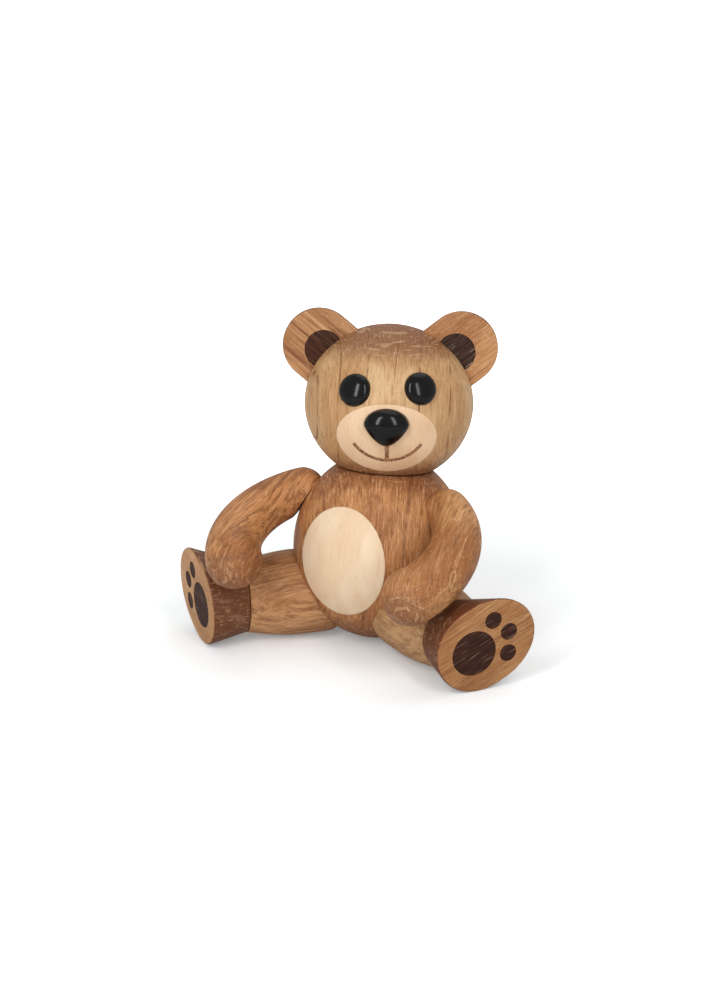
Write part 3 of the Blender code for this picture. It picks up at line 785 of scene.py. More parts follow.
def inlay(
    name: str, place: Matrix, half_width: float, half_length: float, floor: float, skin: Blank
) -> Blank:
    """Make an oval inlay whose face follows a turned surface.

    Args:
        name: The piece's name.
        place: The oval's frame, with Z out of the surface.
        half_width: Half of its size along X.
        half_length: Half of its size along Y.
        floor: The height of its flat back.
        skin: The turned shape that its face follows, which is used up.

    Returns:
        The inlay in its place.
    """
    reach = 2.0 * half_length
    rings = 24
    rim_edge = 0.00006
    middle = reach * UP
    blank = Blank.disc(name, half_width, reach, 128)
    blank.open()
    blank.resize((1.0, half_length / half_width, 1.0), middle)
    for step in range(rings):
        blank.draw_up()
        left = max(1.0 - (step + 1.0) / rings, 0.001)
        share = left / (1.0 - step / rings)
        blank.resize((share, share, 1.0), middle)
    bpy.ops.mesh.merge(type="CENTER")
    blank.close()
    blank.piece.matrix_world = place
    wrap = blank.piece.modifiers.new("follow", "SHRINKWRAP")
    wrap.wrap_method = "PROJECT"
    wrap.use_project_z = True
    wrap.use_positive_direction = False
    wrap.use_negative_direction = True
    wrap.target = skin.piece
    bpy.ops.object.modifier_apply(modifier=wrap.name)
    skin.scrap()
    blank.put(Matrix())
    outward = place.to_3x3() @ UP
    blank.open()
    blank.clear(Part.FACES)
    bpy.ops.mesh.select_face_by_sides(number=4, type="GREATER")
    blank.draw_up(tuple(-reach * outward))
    blank.settle()
    blank.slice(moved(place, z=floor).to_translation(), -outward)
    blank.open()
    blank.ease(rim_edge, 2)
    blank.settle()
    return blank


@dataclass
class Torso:
    """The leaning egg of the body and the pale oval in its belly."""

    radius: float = 0.0297
    half_height: float = 0.0325
    neck_plane: float = 0.0271
    neck_edge: float = 0.0004
    belly_half_width: float = 0.0161
    belly_half_height: float = 0.0188
    belly_drop: float = 0.0021
    belly_turn_deg: float = -4.8
    belly_depth: float = 0.0074
    neck_bush: tuple[float, float] = (0.0055, 0.0140)
    grain_deg: float = 25.0
    place: Matrix = field(init=False)

    def __post_init__(self) -> None:
        """Work out the egg's frame from the neck's joint."""
        neck, axis = joint_place("neck_turn")
        lean = UP.rotation_difference(axis).to_matrix().to_4x4()
        self.place = Matrix.Translation(neck - self.neck_plane * axis) @ lean

    @property
    def centre(self) -> Vector:
        """Give the middle of the egg."""
        return self.place.to_translation()

    def build(self, arms: Sequence["Arm"], legs: Sequence["Leg"]) -> None:
        """Make the body and its oval.

        Args:
            arms: The arms, for their seats and bores.
            legs: The legs, for their sockets and bores.
        """
        body = Blank.ball("body_wood", self.radius, self.half_height)
        body.slice(self.neck_plane * UP, UP, self.neck_edge)
        body.put(self.place)
        body.slice(Vector(), -UP)

        turn = math.radians(self.belly_turn_deg)
        outward = Vector((math.sin(turn), -math.cos(turn), 0.0))
        oval = self.place @ frame_at(-self.belly_drop * UP, outward)
        floor = self.radius - self.belly_depth
        beyond = self.radius + self.belly_depth
        skin = Blank.ball("belly_skin", self.radius, self.half_height).put(self.place)
        wide = self.belly_half_width
        tall = self.belly_half_height
        belly = inlay("belly_oval", oval, wide, tall, floor + ROOM, skin)
        pocket = oval_rod("belly_pocket", wide + FINE_SEAM, tall + FINE_SEAM, floor, beyond)
        body.by(pocket.put(oval))

        radius, length = self.neck_bush
        neck = moved(self.place, z=self.neck_plane)
        body.by(rod("neck_bore", radius + ROOM, -length, PROUD, neck))
        for limb in (*arms, *legs):
            for tool in limb.body_tools():
                body.by(tool)
        grain = self.place @ Matrix.Rotation(math.radians(self.grain_deg), 4, "Z")
        body.finish("torso", "body", "body_oak", BODY_OAK.dress("body_oak", grain))
        maple = BELLY_MAPLE.dress("belly_maple", self.place)
        belly.finish("torso", "belly_inlay", "pale_maple", maple)


@dataclass
class Head:
    """The head's egg with its muzzle, nose, eyes and ears."""

    torso: Torso
    radius: float = 0.0289
    half_height: float = 0.02705
    cut: float = 0.0222
    gap: float = 0.0003
    neck_edge: float = 0.0007
    yaw_deg: float = 22.5
    roll_deg: float = 2.5
    muzzle_half_width: float = 0.0168
    muzzle_half_height: float = 0.0130
    muzzle_drop: float = 0.0096
    muzzle_tilt_deg: float = -22.5
    muzzle_depth: float = 0.0070
    nose_half_width: float = 0.0075
    nose_upper: float = 0.0057
    nose_lower: float = 0.0069
    nose_taper: float = 0.35
    nose_rise: float = 0.0041
    nose_tilt_deg: float = -6.6
    nose_sink: float = 0.0013
    eye_radius: float = 0.0055
    eye_out: float = 0.0110
    eye_up: float = 0.0085
    eye_skew: float = 0.0005
    eye_rise: float = 0.0026
    eye_sink: float = 0.0010
    stem_radius: float = 0.0015
    stem_length: float = 0.0022
    mouth_radius: float = 0.01385
    mouth_middle: tuple[float, float] = (0.0003, -0.0019)
    mouth_from_deg: float = -144.0
    mouth_to_deg: float = -35.0
    mouth_width: float = 0.0011
    mouth_depth: float = 0.0004
    mouth_reach: float = 0.028
    mouth_room: float = 0.02
    philtrum_low: float = -0.0157
    philtrum_high: float = -0.0073
    philtrum_width: float = 0.0014
    ear_radius: float = 0.0124
    ear_reach: float = 0.0312
    ear_root: float = 0.0200
    ear_rise_deg: float = 38.9
    ear_thickness: float = 0.0045
    ear_edge: float = 0.0006
    ear_room: float = 0.00028
    disc_radius: float = 0.0065
    disc_reach: float = 0.0289
    disc_depth: float = 0.0012
    disc_edge: float = 0.0001
    dowel_radius: float = 0.0040
    dowel_length: float = 0.0120
    place: Matrix = field(init=False)
    face: Matrix = field(init=False)

    def __post_init__(self) -> None:
        """Work out the frames of the head and of the face, which is rolled a little."""
        rise = self.torso.neck_plane + self.gap + self.cut
        yaw = Matrix.Rotation(math.radians(self.yaw_deg), 4, "Z")
        self.place = moved(self.torso.place, z=rise) @ yaw
        self.face = self.place @ Matrix.Rotation(-math.radians(self.roll_deg), 4, "Y")

    def surface(self, x: float, z: float) -> Vector:
        """Give the point of the head's front at a place beside and above its middle."""
        share = 1.0 - (z / self.half_height) ** 2 - (x / self.radius) ** 2
        return Vector((x, -self.radius * math.sqrt(share), z))

    def outward(self, point: Vector) -> Vector:
        """Give the outward direction of the surface at one of its points."""
        flat = self.radius**2
        return Vector((point.x / flat, point.y / flat, point.z / self.half_height**2))

    def egg(self, name: str, shrink: float = 0.0) -> Blank:
        """Make the whole egg in its place, or a smaller one inside it."""
        return Blank.ball(name, self.radius - shrink, self.half_height - shrink).put(self.place)

    def spot(self, height: float, tilt: float) -> Matrix:
        """Give the frame of a point in the middle of the face, tilted up by some radians."""
        outward = Vector((0.0, -math.cos(tilt), math.sin(tilt)))
        return self.face @ frame_at(self.surface(0.0, height), outward)

    def build(self) -> None:
        """Make the head and all that it carries."""
        head = Blank.ball("head_wood", self.radius, self.half_height)
        head.slice(-self.cut * UP, -UP, self.neck_edge)
        head.put(self.place)
        neck = moved(self.torso.place, z=self.torso.neck_plane)
        head.by(rod("neck_hole", self.dowel_radius + ROOM, -self.dowel_length, self.dowel_length, neck))
        self.build_muzzle(head)
        for side in Side:
            self.build_eye(head, side)
            self.build_ear(head, side)
        head.finish("head_group", "head", "head_oak", HEAD_OAK.dress("head_oak", self.face))

    def build_muzzle(self, head: Blank) -> None:
        """Make the muzzle's oval, cut the mouth into it and set the nose.

        Args:
            head: The head, which gets the pocket.
        """
        place = self.spot(-self.muzzle_drop, math.radians(self.muzzle_tilt_deg))
        wide = self.muzzle_half_width
        tall = self.muzzle_half_height
        deep = self.muzzle_depth
        muzzle = inlay("muzzle_oval", place, wide, tall, ROOM - deep, self.egg("muzzle_skin"))
        pocket = oval_rod("muzzle_pocket", wide + FINE_SEAM, tall + FINE_SEAM, -deep, deep)
        head.by(pocket.put(place))
        maple = MUZZLE_MAPLE.dress("muzzle_maple", self.face)
        burnt = BURNT.dress("burnt_line", self.face)
        muzzle.dress(maple)
        for tool in (self.mouth_tool(), self.philtrum_tool()):
            tool.by(self.egg("mouth_floor", self.mouth_depth))
            tool.piece.data.materials.clear()
            tool.dress(burnt)
            muzzle.by(tool)

        tilt = math.radians(self.nose_tilt_deg)
        place = self.spot(self.radius * math.sin(tilt), tilt)
        foot = -self.nose_sink - self.stem_length
        muzzle.by(self.nose_shape("nose_recess", SEAM).put(place))
        muzzle.by(rod("nose_stem_hole", self.stem_radius + ROOM, foot - ROOM, 0.0, place))
        nose = self.nose_shape("nose_bead", 0.0).put(place)
        nose.by(rod("nose_stem", self.stem_radius, foot, -0.5 * self.nose_sink, place, 32), Cut.JOIN)
        nose.finish("head_group", "nose", "black_gloss", GLOSS.dress("nose_gloss", place))
        muzzle.finish("head_group", "muzzle_inlay", "pale_maple", maple)

    def nose_shape(self, name: str, grow: float) -> Blank:
        """Make the nose: round above, tapered to a blunt point below, with a straight skirt.

        Args:
            name: The piece's name.
            grow: How much it is grown all round, for its recess.

        Returns:
            The nose in its own frame.
        """
        sides = 96
        wide = self.nose_half_width + grow
        low = self.nose_lower + grow
        deselect_all()
        bpy.ops.mesh.primitive_uv_sphere_add(
            segments=sides, ring_count=sides // 2, radius=low, rotation=(0.5 * math.pi, 0.0, 0.0)
        )
        nose = Blank(name)
        nose.open()
        nose.resize((wide / low, 1.0, (self.nose_rise + grow) / low))
        for step in range(1, sides // 4):
            y = -low * math.sin(2.0 * math.pi * step / sides)
            nose.pick(lambda co, y=y: abs(co.y - y) < TINY)
            nose.resize((1.0 + self.nose_taper * y / low, 1.0, 1.0), Vector((0.0, y, 0.0)))
        nose.pick(lambda co: co.y > TINY)
        nose.resize((1.0, (self.nose_upper + grow) / low, 1.0), Vector())
        nose.close()
        nose.slice(Vector(), -UP)
        nose.open()
        nose.pick(lambda co: co.z < 2.0 * TINY, Part.FACES)
        nose.draw_up((0.0, 0.0, -self.nose_sink - grow))
        nose.settle()
        return nose

    def mouth_tool(self) -> Blank:
        """Make the curved wall that cuts the mouth, standing in the face's frame."""
        steps = 48
        first = math.radians(self.mouth_from_deg)
        last = math.radians(self.mouth_to_deg)
        middle_x, middle_z = self.mouth_middle
        start = Vector((math.cos(first), 0.0, math.sin(first))) * self.mouth_radius
        deselect_all()
        bpy.ops.mesh.primitive_plane_add(size=1.0)
        wall = Blank("mouth_wall")
        wall.open()
        wall.resize((self.mouth_width, self.mouth_room, 1.0))
        wall.turn(-first, "Y", (0.0, 0.0, 0.0))
        bpy.ops.transform.translate(value=(start.x + middle_x, -self.mouth_reach, start.z + middle_z))
        for _ in range(steps):
            wall.draw_up()
            wall.turn(-(last - first) / steps, "Y", (middle_x, 0.0, middle_z))
        wall.settle()
        return wall.put(self.face)

    def philtrum_tool(self) -> Blank:
        """Make the upright wall that cuts the line between nose and mouth."""
        deselect_all()
        bpy.ops.mesh.primitive_cube_add(size=1.0)
        wall = Blank("philtrum_wall")
        wall.open()
        wall.resize((self.philtrum_width, self.mouth_room, self.philtrum_high - self.philtrum_low))
        middle = 0.5 * (self.philtrum_high + self.philtrum_low)
        bpy.ops.transform.translate(value=(self.mouth_middle[0], -self.mouth_reach, middle))
        wall.settle()
        return wall.put(self.face)

    def build_eye(self, head: Blank, side: Side) -> None:
        """Make one eye and its recess in the head.

        Args:
            head: The head.
            side: The bear's own side.
        """
        spot = self.surface(side.value * self.eye_out, self.eye_up + side.value * self.eye_skew)
        place = self.face @ frame_at(spot, self.outward(spot))
        back = -self.eye_sink
        stem = [(back - self.stem_length, self.stem_radius), (back, self.stem_radius)]
        outline = [*stem, (back, self.eye_radius), *dome(self.eye_radius, self.eye_rise)]
        eye = Blank.turned("eye_bead_" + side.word, outline).put(place)
        gloss = GLOSS.dress("eye_gloss_" + side.word, place)
        eye.finish("head_group", "eye_" + side.word, "black_gloss", gloss)
        hole = self.stem_radius + ROOM
        rim = self.eye_radius + SEAM
        steps = [(back - self.stem_length - ROOM, hole), (back - ROOM, hole), (back - ROOM, rim)]
        head.by(Blank.turned("eye_recess", [*steps, (self.eye_rise, rim)]).put(place))

    def ear_shape(self, name: str, grow: float, edge: float) -> Blank:
        """Make an ear: half a disc above a tongue with straight sides.

        Args:
            name: The piece's name.
            grow: How much it is grown all round, for its slot.
            edge: The rounding of its edges, or 0 for none.

        Returns:
            The ear in its own frame, with Y along it and Z out of its front.
        """
        radius = self.ear_radius + grow
        deselect_all()
        bpy.ops.mesh.primitive_cylinder_add(
            vertices=128, radius=radius, depth=self.ear_thickness + 2.0 * grow
        )
        ear = Blank(name)
        ear.slice(Vector(), FORWARD)
        ear.open()
        ear.pick(lambda co: abs(co.y) < TINY, Part.FACES)
        ear.draw_up((0.0, self.ear_root - self.ear_reach - grow, 0.0))
        if edge > 0.0:
            ear.ease(edge, 5)
        ear.settle()
        return ear

    def build_ear(self, head: Blank, side: Side) -> None:
        """Make one ear with its dark disc, and its slot in the head.

        Args:
            head: The head.
            side: The bear's own side.
        """
        rise = math.radians(self.ear_rise_deg)
        reach = Vector((side.value * math.cos(rise), 0.0, math.sin(rise)))
        place = self.face @ frame_at(self.ear_reach * reach, FORWARD, reach)
        ear = self.ear_shape("ear_tongue_" + side.word, 0.0, self.ear_edge).put(place)
        head.by(self.ear_shape("ear_slot", self.ear_room, 0.0).put(place))
        disc_place = moved(place, y=self.disc_reach - self.ear_reach, z=0.5 * self.ear_thickness)
        radius = self.disc_radius
        ear.by(rod("disc_pocket", radius + SEAM, -self.disc_depth - ROOM, PROUD, disc_place, 96))
        disc = plug("ear_disc_" + side.word, radius, self.disc_depth, self.disc_edge, disc_place)
        grain = place @ ALONG
        oak = EAR_OAKS[side].dress("ear_oak_" + side.word, grain)
        ear.finish("head_group", "ear_" + side.word, "ear_oak", oak)
        dark = EAR_DARKS[side].dress("ear_dark_" + side.word, grain)
        disc.finish("head_group", "ear_inlay_" + side.word, "dark_wood", dark)


@dataclass
class Arm:
    """A round bar bent on an arc, with round ends, shaved flat where it sits on the body."""

    torso: Torso
    side: Side
    raise_deg: float
    finish: Oak
    out: float = 0.0255
    forward: float = 0.0030
    rise: float = 0.01785
    slant_deg: float = 39.4
    bend_radius: float = 0.0343
    bend_deg: float = 84.7
    wrist: float = 0.00775
    hand: float = 0.00965
    from_deg: float = 3.6
    seat_radius: float = 0.0120
    flat_reach: float = 0.0200
    gap: float = 0.0003
    dowel_radius: float = 0.0025
    dowel_depth: float = 0.0062
    bush_radius: float = 0.0040
    bush_length: float = 0.0100

    @property
    def seat(self) -> Matrix:
        """Give the frame of the joint's face, with Z out of the body."""
        return limb_place("shoulder", self.side)

    def body_tools(self) -> list[Blank]:
        """Make the tools that cut the arm's seat and bore into the body."""
        floor = -self.bush_length - self.gap
        return [
            rod("shoulder_seat", self.seat_radius, 0.5 * SEAM, self.seat_radius, self.seat, 96),
            rod("shoulder_bore", self.bush_radius + self.gap, floor, PROUD, self.seat),
        ]

    def build(self) -> None:
        """Make the arm: a round end at the shoulder, the bend, and the round hand."""
        steps = 20
        turns = 56
        cap = [(-rise, radius) for rise, radius in reversed(dome(self.wrist, self.wrist, steps))]
        arm = Blank.turned("arm_bar_" + self.side.word, cap, 72)
        arm.open()
        arm.pick(lambda co: co.z > -TINY, Part.FACES)
        bend = math.radians(self.bend_deg - self.from_deg)
        step_turn = bend / turns
        radius = self.wrist
        for step in range(1, turns + 1):
            arm.draw_up()
            arm.turn(step_turn, "Y", (self.bend_radius, 0.0, 0.0))
            grown = self.wrist + (self.hand - self.wrist) * step / turns
            arm.resize((grown / radius,) * 3, self.path(step_turn * step))
            radius = grown
        end = self.path(bend)
        heading = Vector((math.sin(bend), 0.0, math.cos(bend)))
        before = 0.0
        for step in range(1, steps + 1):
            angle = 0.5 * math.pi * step / steps
            reach = self.hand * math.sin(angle)
            grown = max(self.hand * math.cos(angle), TINY)
            arm.draw_up(tuple(heading * (reach - before)))
            arm.resize((grown / radius,) * 3, end + heading * reach)
            before = reach
            radius = grown
        arm.settle()
        place = self.path_place()
        arm.put(place)
        arm.by(rod("arm_flat", self.flat_reach, -self.flat_reach, 1.5 * SEAM, self.seat, 96))
        top = 2.0 * self.gap + self.dowel_depth
        arm.by(rod("arm_hole", self.dowel_radius + self.gap, -PROUD, top, self.seat))
        name = "arm_" + self.side.word
        oak = self.finish.dress(name + "_oak", place @ Matrix.Rotation(0.5 * bend, 4, "Y"))
        arm.finish(self.side.word + "_arm", name, "arm_oak", oak)

    def path(self, angle: float) -> Vector:
        """Give the middle of the bar at an angle of its bend, in its own frame."""
        reach = self.bend_radius
        return Vector((reach * (1.0 - math.cos(angle)), 0.0, reach * math.sin(angle)))

    def path_place(self) -> Matrix:
        """Give the frame of the bar where its round end at the shoulder stops.

        Returns:
            The frame, with Z along the bar and X to the inside of its bend.
        """
        slant = math.radians(self.slant_deg)
        lift = Matrix.Rotation(-math.radians(self.raise_deg), 3, "X")
        sign = self.side.value
        heading = lift @ Vector((sign * math.cos(slant), 0.0, -math.sin(slant)))
        inward = lift @ Vector((-sign * math.sin(slant), 0.0, -math.cos(slant)))
        start = self.torso.centre + Vector((sign * self.out, -self.forward, self.rise))
        turn = Matrix((inward, heading.cross(inward), heading)).transposed()
        first = math.radians(self.from_deg)
        place = Matrix.Translation(start) @ turn.to_4x4() @ Matrix.Translation(self.path(first))
        return place @ Matrix.Rotation(first, 4, "Y")


@dataclass
class Leg:
    """A turned leg in its socket, and the foot behind the ring of the ankle."""

    side: Side
    roll_deg: float
    finish: Oak
    foot_finish: Oak
    radius: float = 0.01485
    taper: float = 0.0025
    taper_power: float = 1.6
    length: float = 0.0177
    root: float = 0.0160
    root_swell: float = 0.0600
    root_round: float = 0.0050
    socket_mouth: float = 0.0040
    end_edge: float = 0.0005
    gap: float = 0.0003
    dowel_radius: float = 0.0030
    dowel_in_leg: float = 0.0080
    dowel_in_foot: float = 0.0070
    bush_radius: float = 0.0045
    bush_length: float = 0.0080
    sole_distance: float = 0.0155
    sole_forward: float = 0.00295
    sole_half_length: float = 0.0186
    sole_half_width: float = 0.0155
    sole_heel_swell: float = 0.10
    sole_toe_swell: float = 0.03
    sole_tilt_deg: float = 6.9
    sole_edge: float = 0.0012
    pad_radius: float = 0.00785
    pad_back: float = 0.0052
    pad_depth: float = 0.0020
    toe_radius: float = 0.0029
    toe_forward: float = 0.00865
    toe_side_forward: float = 0.0054
    toe_side: float = 0.0070
    toe_depth: float = 0.0018
    pad_edge: float = 0.00012

    @property
    def place(self) -> Matrix:
        """Give the leg's frame, with Z out along it."""
        return limb_place("hip", self.side)

    @property
    def foot_place(self) -> Matrix:
        """Give the foot's frame, with Z out along the leg and Y towards the toes."""
        roll = -self.side.value * math.radians(self.roll_deg)
        return moved(self.place, z=self.length) @ Matrix.Rotation(roll, 4, "Z")

    @property
    def sole_place(self) -> Matrix:
        """Give the frame on the sole, with Z out of it and Y towards the toes."""
        tilt = math.radians(self.sole_tilt_deg)
        forward = Vector((0.0, math.cos(tilt), math.sin(tilt)))
        outward = Vector((0.0, -math.sin(tilt), math.cos(tilt)))
        middle = self.sole_distance * UP + self.sole_forward * forward
        return self.foot_place @ frame_at(middle, outward, forward)

    def radius_at(self, distance: float) -> float:
        """Give the leg's radius at a distance from its fullest place, outward positive."""
        if distance >= 0.0:
            return self.radius - self.taper * (distance / self.length) ** self.taper_power
        return self.radius * math.sqrt(1.0 - (distance / self.root_swell) ** 2)

    def outline(self, grow: float, root: float, end: float, edge: float) -> list[tuple[float, float]]:
        """Give the leg's (distance, radius) pairs from its root to its outer end.

        Args:
            grow: How much it is grown all round.
            root: How deep it goes into the body.
            end: The distance of its outer end.
            edge: The rounding of that end, or 0 for none.

        Returns:
            The pairs.
        """
        shoulder = self.root_round - self.root
        full = self.radius_at(shoulder)
        depth = self.root_round + grow
        pairs = []
        rings = 8
        for step in range(rings):
            angle = 0.5 * math.pi * step / rings
            radius = full - self.root_round + depth * math.sin(angle)
            pairs.append((shoulder - depth * math.cos(angle), radius))
        pairs[0] = (-root, pairs[0][1])
        steps = 28
        last = end - edge
        for step in range(steps + 1):
            distance = shoulder + (last - shoulder) * step / steps
            pairs.append((distance, self.radius_at(distance) + grow))
        if edge > 0.0:
            rim = self.radius_at(last) + grow - edge
            pairs += [(last + rise, rim + out) for rise, out in dome(edge, edge, 4)[1:]]
        return pairs

    def body_tools(self) -> list[Blank]:
        """Make the tools that cut the leg's socket and bore into the body."""
        floor = self.root + self.gap
        outline = self.outline(1.5 * SEAM, floor, self.socket_mouth, 0.0)
        low = -floor - self.bush_length - self.gap
        return [
            Blank.turned("hip_socket", outline, 120).put(self.place),
            rod("hip_bore", self.bush_radius + self.gap, low, -self.root, self.place),
        ]

    def build(self) -> None:
        """Make the leg and then the foot."""
        name = "leg_" + self.side.word
        end = self.length - 0.5 * self.gap
        outline = self.outline(0.0, self.root, end, self.end_edge)
        leg = Blank.turned("leg_bar_" + self.side.word, outline, 120).put(self.place)
        hole = self.dowel_radius + self.gap
        top = self.dowel_in_leg - self.root + self.gap
        leg.by(rod("hip_hole", hole, -self.root - PROUD, top, self.place))
        bore = self.bush_radius + self.gap
        leg.by(rod("ankle_bore", bore, end - self.bush_length - self.gap, end + PROUD, self.place))
        oak = self.finish.dress(name + "_oak", self.place)
        leg.finish(self.side.word + "_leg", name, "leg_oak", oak)
        self.build_foot()

    def build_foot(self) -> None:
        """Make the foot, flared from the round ankle to the oval sole."""
        sides = 96
        base = 0.5 * self.gap
        ankle = self.radius_at(self.length)
        foot = Blank.disc("foot_block_" + self.side.word, ankle, base, sides)
        foot.open()
        foot.draw_up((0.0, 0.0, self.sole_distance - base))
        top = self.sole_distance * UP
        foot.resize((self.sole_half_width / ankle, self.sole_half_length / ankle, 1.0), top)
        for step in range(1 - sides // 4, sides // 4):
            y = self.sole_half_length * math.sin(math.tau * step / sides)
            foot.pick(lambda co, y=y: abs(co.y - y) < TINY and co.z > 0.5 * self.sole_distance)
            swell = self.sole_toe_swell if y > 0.0 else -self.sole_heel_swell
            foot.resize((1.0 + swell * y / self.sole_half_length, 1.0, 1.0), top)
        foot.pick(lambda co: co.z > 0.9 * self.sole_distance, Part.FACES)
        bpy.ops.transform.translate(value=(0.0, self.sole_forward, 0.0))
        foot.turn(math.radians(self.sole_tilt_deg), "X", tuple(top))
        bpy.ops.mesh.select_all(action="SELECT")
        bpy.ops.mesh.normals_make_consistent(inside=False)
        for edge, test in (
            (self.end_edge, lambda co: co.z < self.gap),
            (self.sole_edge, lambda co: co.z > 0.75 * self.sole_distance),
        ):
            foot.pick(test, Part.EDGES)
            bpy.ops.mesh.bevel(offset=edge, segments=5, affect="EDGES")
        foot.close()
        foot.put(self.foot_place)
        hole = self.dowel_radius + self.gap
        foot.by(rod("foot_hole", hole, -PROUD, self.dowel_in_foot + self.gap, self.foot_place))
        self.build_pads(foot)
        name = "foot_" + self.side.word
        oak = self.foot_finish.dress(name + "_oak", self.sole_place @ ALONG)
        foot.finish(self.side.word + "_foot", name, "foot_oak", oak)

    def build_pads(self, foot: Blank) -> None:
        """Make the dark paw disc and the three toe plugs, and their pockets.

        Args:
            foot: The foot.
        """
        out = self.side.value * self.toe_side
        pads = (
            ("paw_disc_", "paw_pad_", 0.0, -self.pad_back, self.pad_radius, self.pad_depth),
            *(
                ("toe_plug_" + which, "toe_pad_" + which, x, y, self.toe_radius, self.toe_depth)
                for which, x, y in (
                    ("inner_", -out, self.toe_side_forward),
                    ("middle_", 0.0, self.toe_forward),
                    ("outer_", out, self.toe_side_forward),
                )
            ),
        )
        for count, (name, node, x, y, radius, depth) in enumerate(pads):
            name += self.side.word
            place = moved(self.sole_place, x=x, y=y)
            foot.by(rod("pad_pocket", radius + SEAM, -depth - self.gap, PROUD, place, 96))
            pad = plug(name, radius, depth, self.pad_edge, place)
            dark = DarkWood(seed=count + 5.0 * self.side.value).dress(name, place @ ALONG)
            pad.finish(self.side.word + "_foot", node + self.side.word, "dark_wood", dark)


BODY_OAK = Oak(
    base=(184, 128, 80),
    warm=(158, 102, 60),
    dark=(100, 56, 28),
    pale=(218, 168, 124),
    end=(126, 74, 42),
    ring_gap=14.0,
    streak_dark=0.68,
    streak_pale=0.7,
    streak_width=0.5,
    streak_length=9.0,
    streak_sheet=0.15,
    fleck_pale=0.5,
    seed=3.0,
)
# The head's dark, strong end colour makes its crown, which faces along the grain, much darker: end
# grain, and painted shade on the top of the head.
HEAD_OAK = Oak(
    base=(202, 166, 122),
    warm=(185, 142, 97),
    end=(118, 70, 40),
    ring_dark=0.85,
    pore_dark=0.35,
    blot_dark=0.12,
    ridge_pale=0.0,
    end_dark=0.85,
    seed=31.0,
)
EAR_OAKS = {
    Side.LEFT: Oak(base=(184, 133, 88), warm=(158, 106, 66), fleck_pale=0.5, streak_dark=0.5, seed=43.0),
    Side.RIGHT: Oak(
        base=(184, 136, 92),
        warm=(154, 105, 66),
        ring_gap=5.0,
        streak_dark=0.95,
        streak_width=0.9,
        streak_length=30.0,
        seed=47.0,
    ),
}
ARM_OAK = Oak(ridge_pale=0.4)
ARM_OAKS = {
    Side.LEFT: replace(
        ARM_OAK,
        base=(190, 138, 89),
        warm=(156, 100, 57),
        pale=(226, 180, 132),
        streak_dark=0.7,
        fleck_pale=0.5,
        blot_dark=0.4,
        seed=53.0,
    ),
    Side.RIGHT: replace(
        ARM_OAK,
        base=(190, 132, 83),
        warm=(142, 86, 46),
        pale=(228, 180, 130),
        streak_dark=0.8,
        blot_dark=0.6,
        seed=59.0,
    ),
}
LEG_OAKS = {
    Side.LEFT: Oak(base=(190, 148, 104), warm=(166, 120, 78), blot_dark=0.45, seed=61.0),
    Side.RIGHT: Oak(
        base=(193, 144, 99),
        warm=(166, 114, 71),
        streak_dark=0.7,
        pore_dark=0.8,
        blot_dark=0.4,
        seed=67.0,
    ),
}
FOOT_OAK = Oak(fleck_pale=0.15, mark_pale=0.1, ridge_pale=0.0, end_dark=0.0, side_dark=0.92)
FOOT_OAKS_RIGHT_PAINTED_LIGHTER = {
    Side.LEFT: replace(
        FOOT_OAK, base=(174, 125, 79), warm=(149, 99, 57), end=(86, 40, 18), seed=71.0
    ),
    # The right foot is painted lighter than the left: painted light on its sole, which faces the side
    # where the lamps are weaker.
    Side.RIGHT: replace(
        FOOT_OAK, base=(200, 152, 106), warm=(178, 130, 84), end=(88, 42, 20), seed=73.0
    ),
}
BELLY_MAPLE = Maple(base=(231, 207, 177), warm=(223, 194, 160), dark=(203, 167, 131))
MUZZLE_MAPLE = Maple(base=(226, 194, 160), warm=(216, 181, 145), dark=(192, 151, 112), seed=5.0)
EAR_DARKS = {
    Side.LEFT: DarkWood(base=(66, 47, 38), pale=(140, 120, 104), streaks=0.9, seed=9.0),
    Side.RIGHT: DarkWood(base=(76, 44, 29), streaks=0.3, seed=13.0),
}
GLOSS = BlackGloss()
BURNT = Burnt()


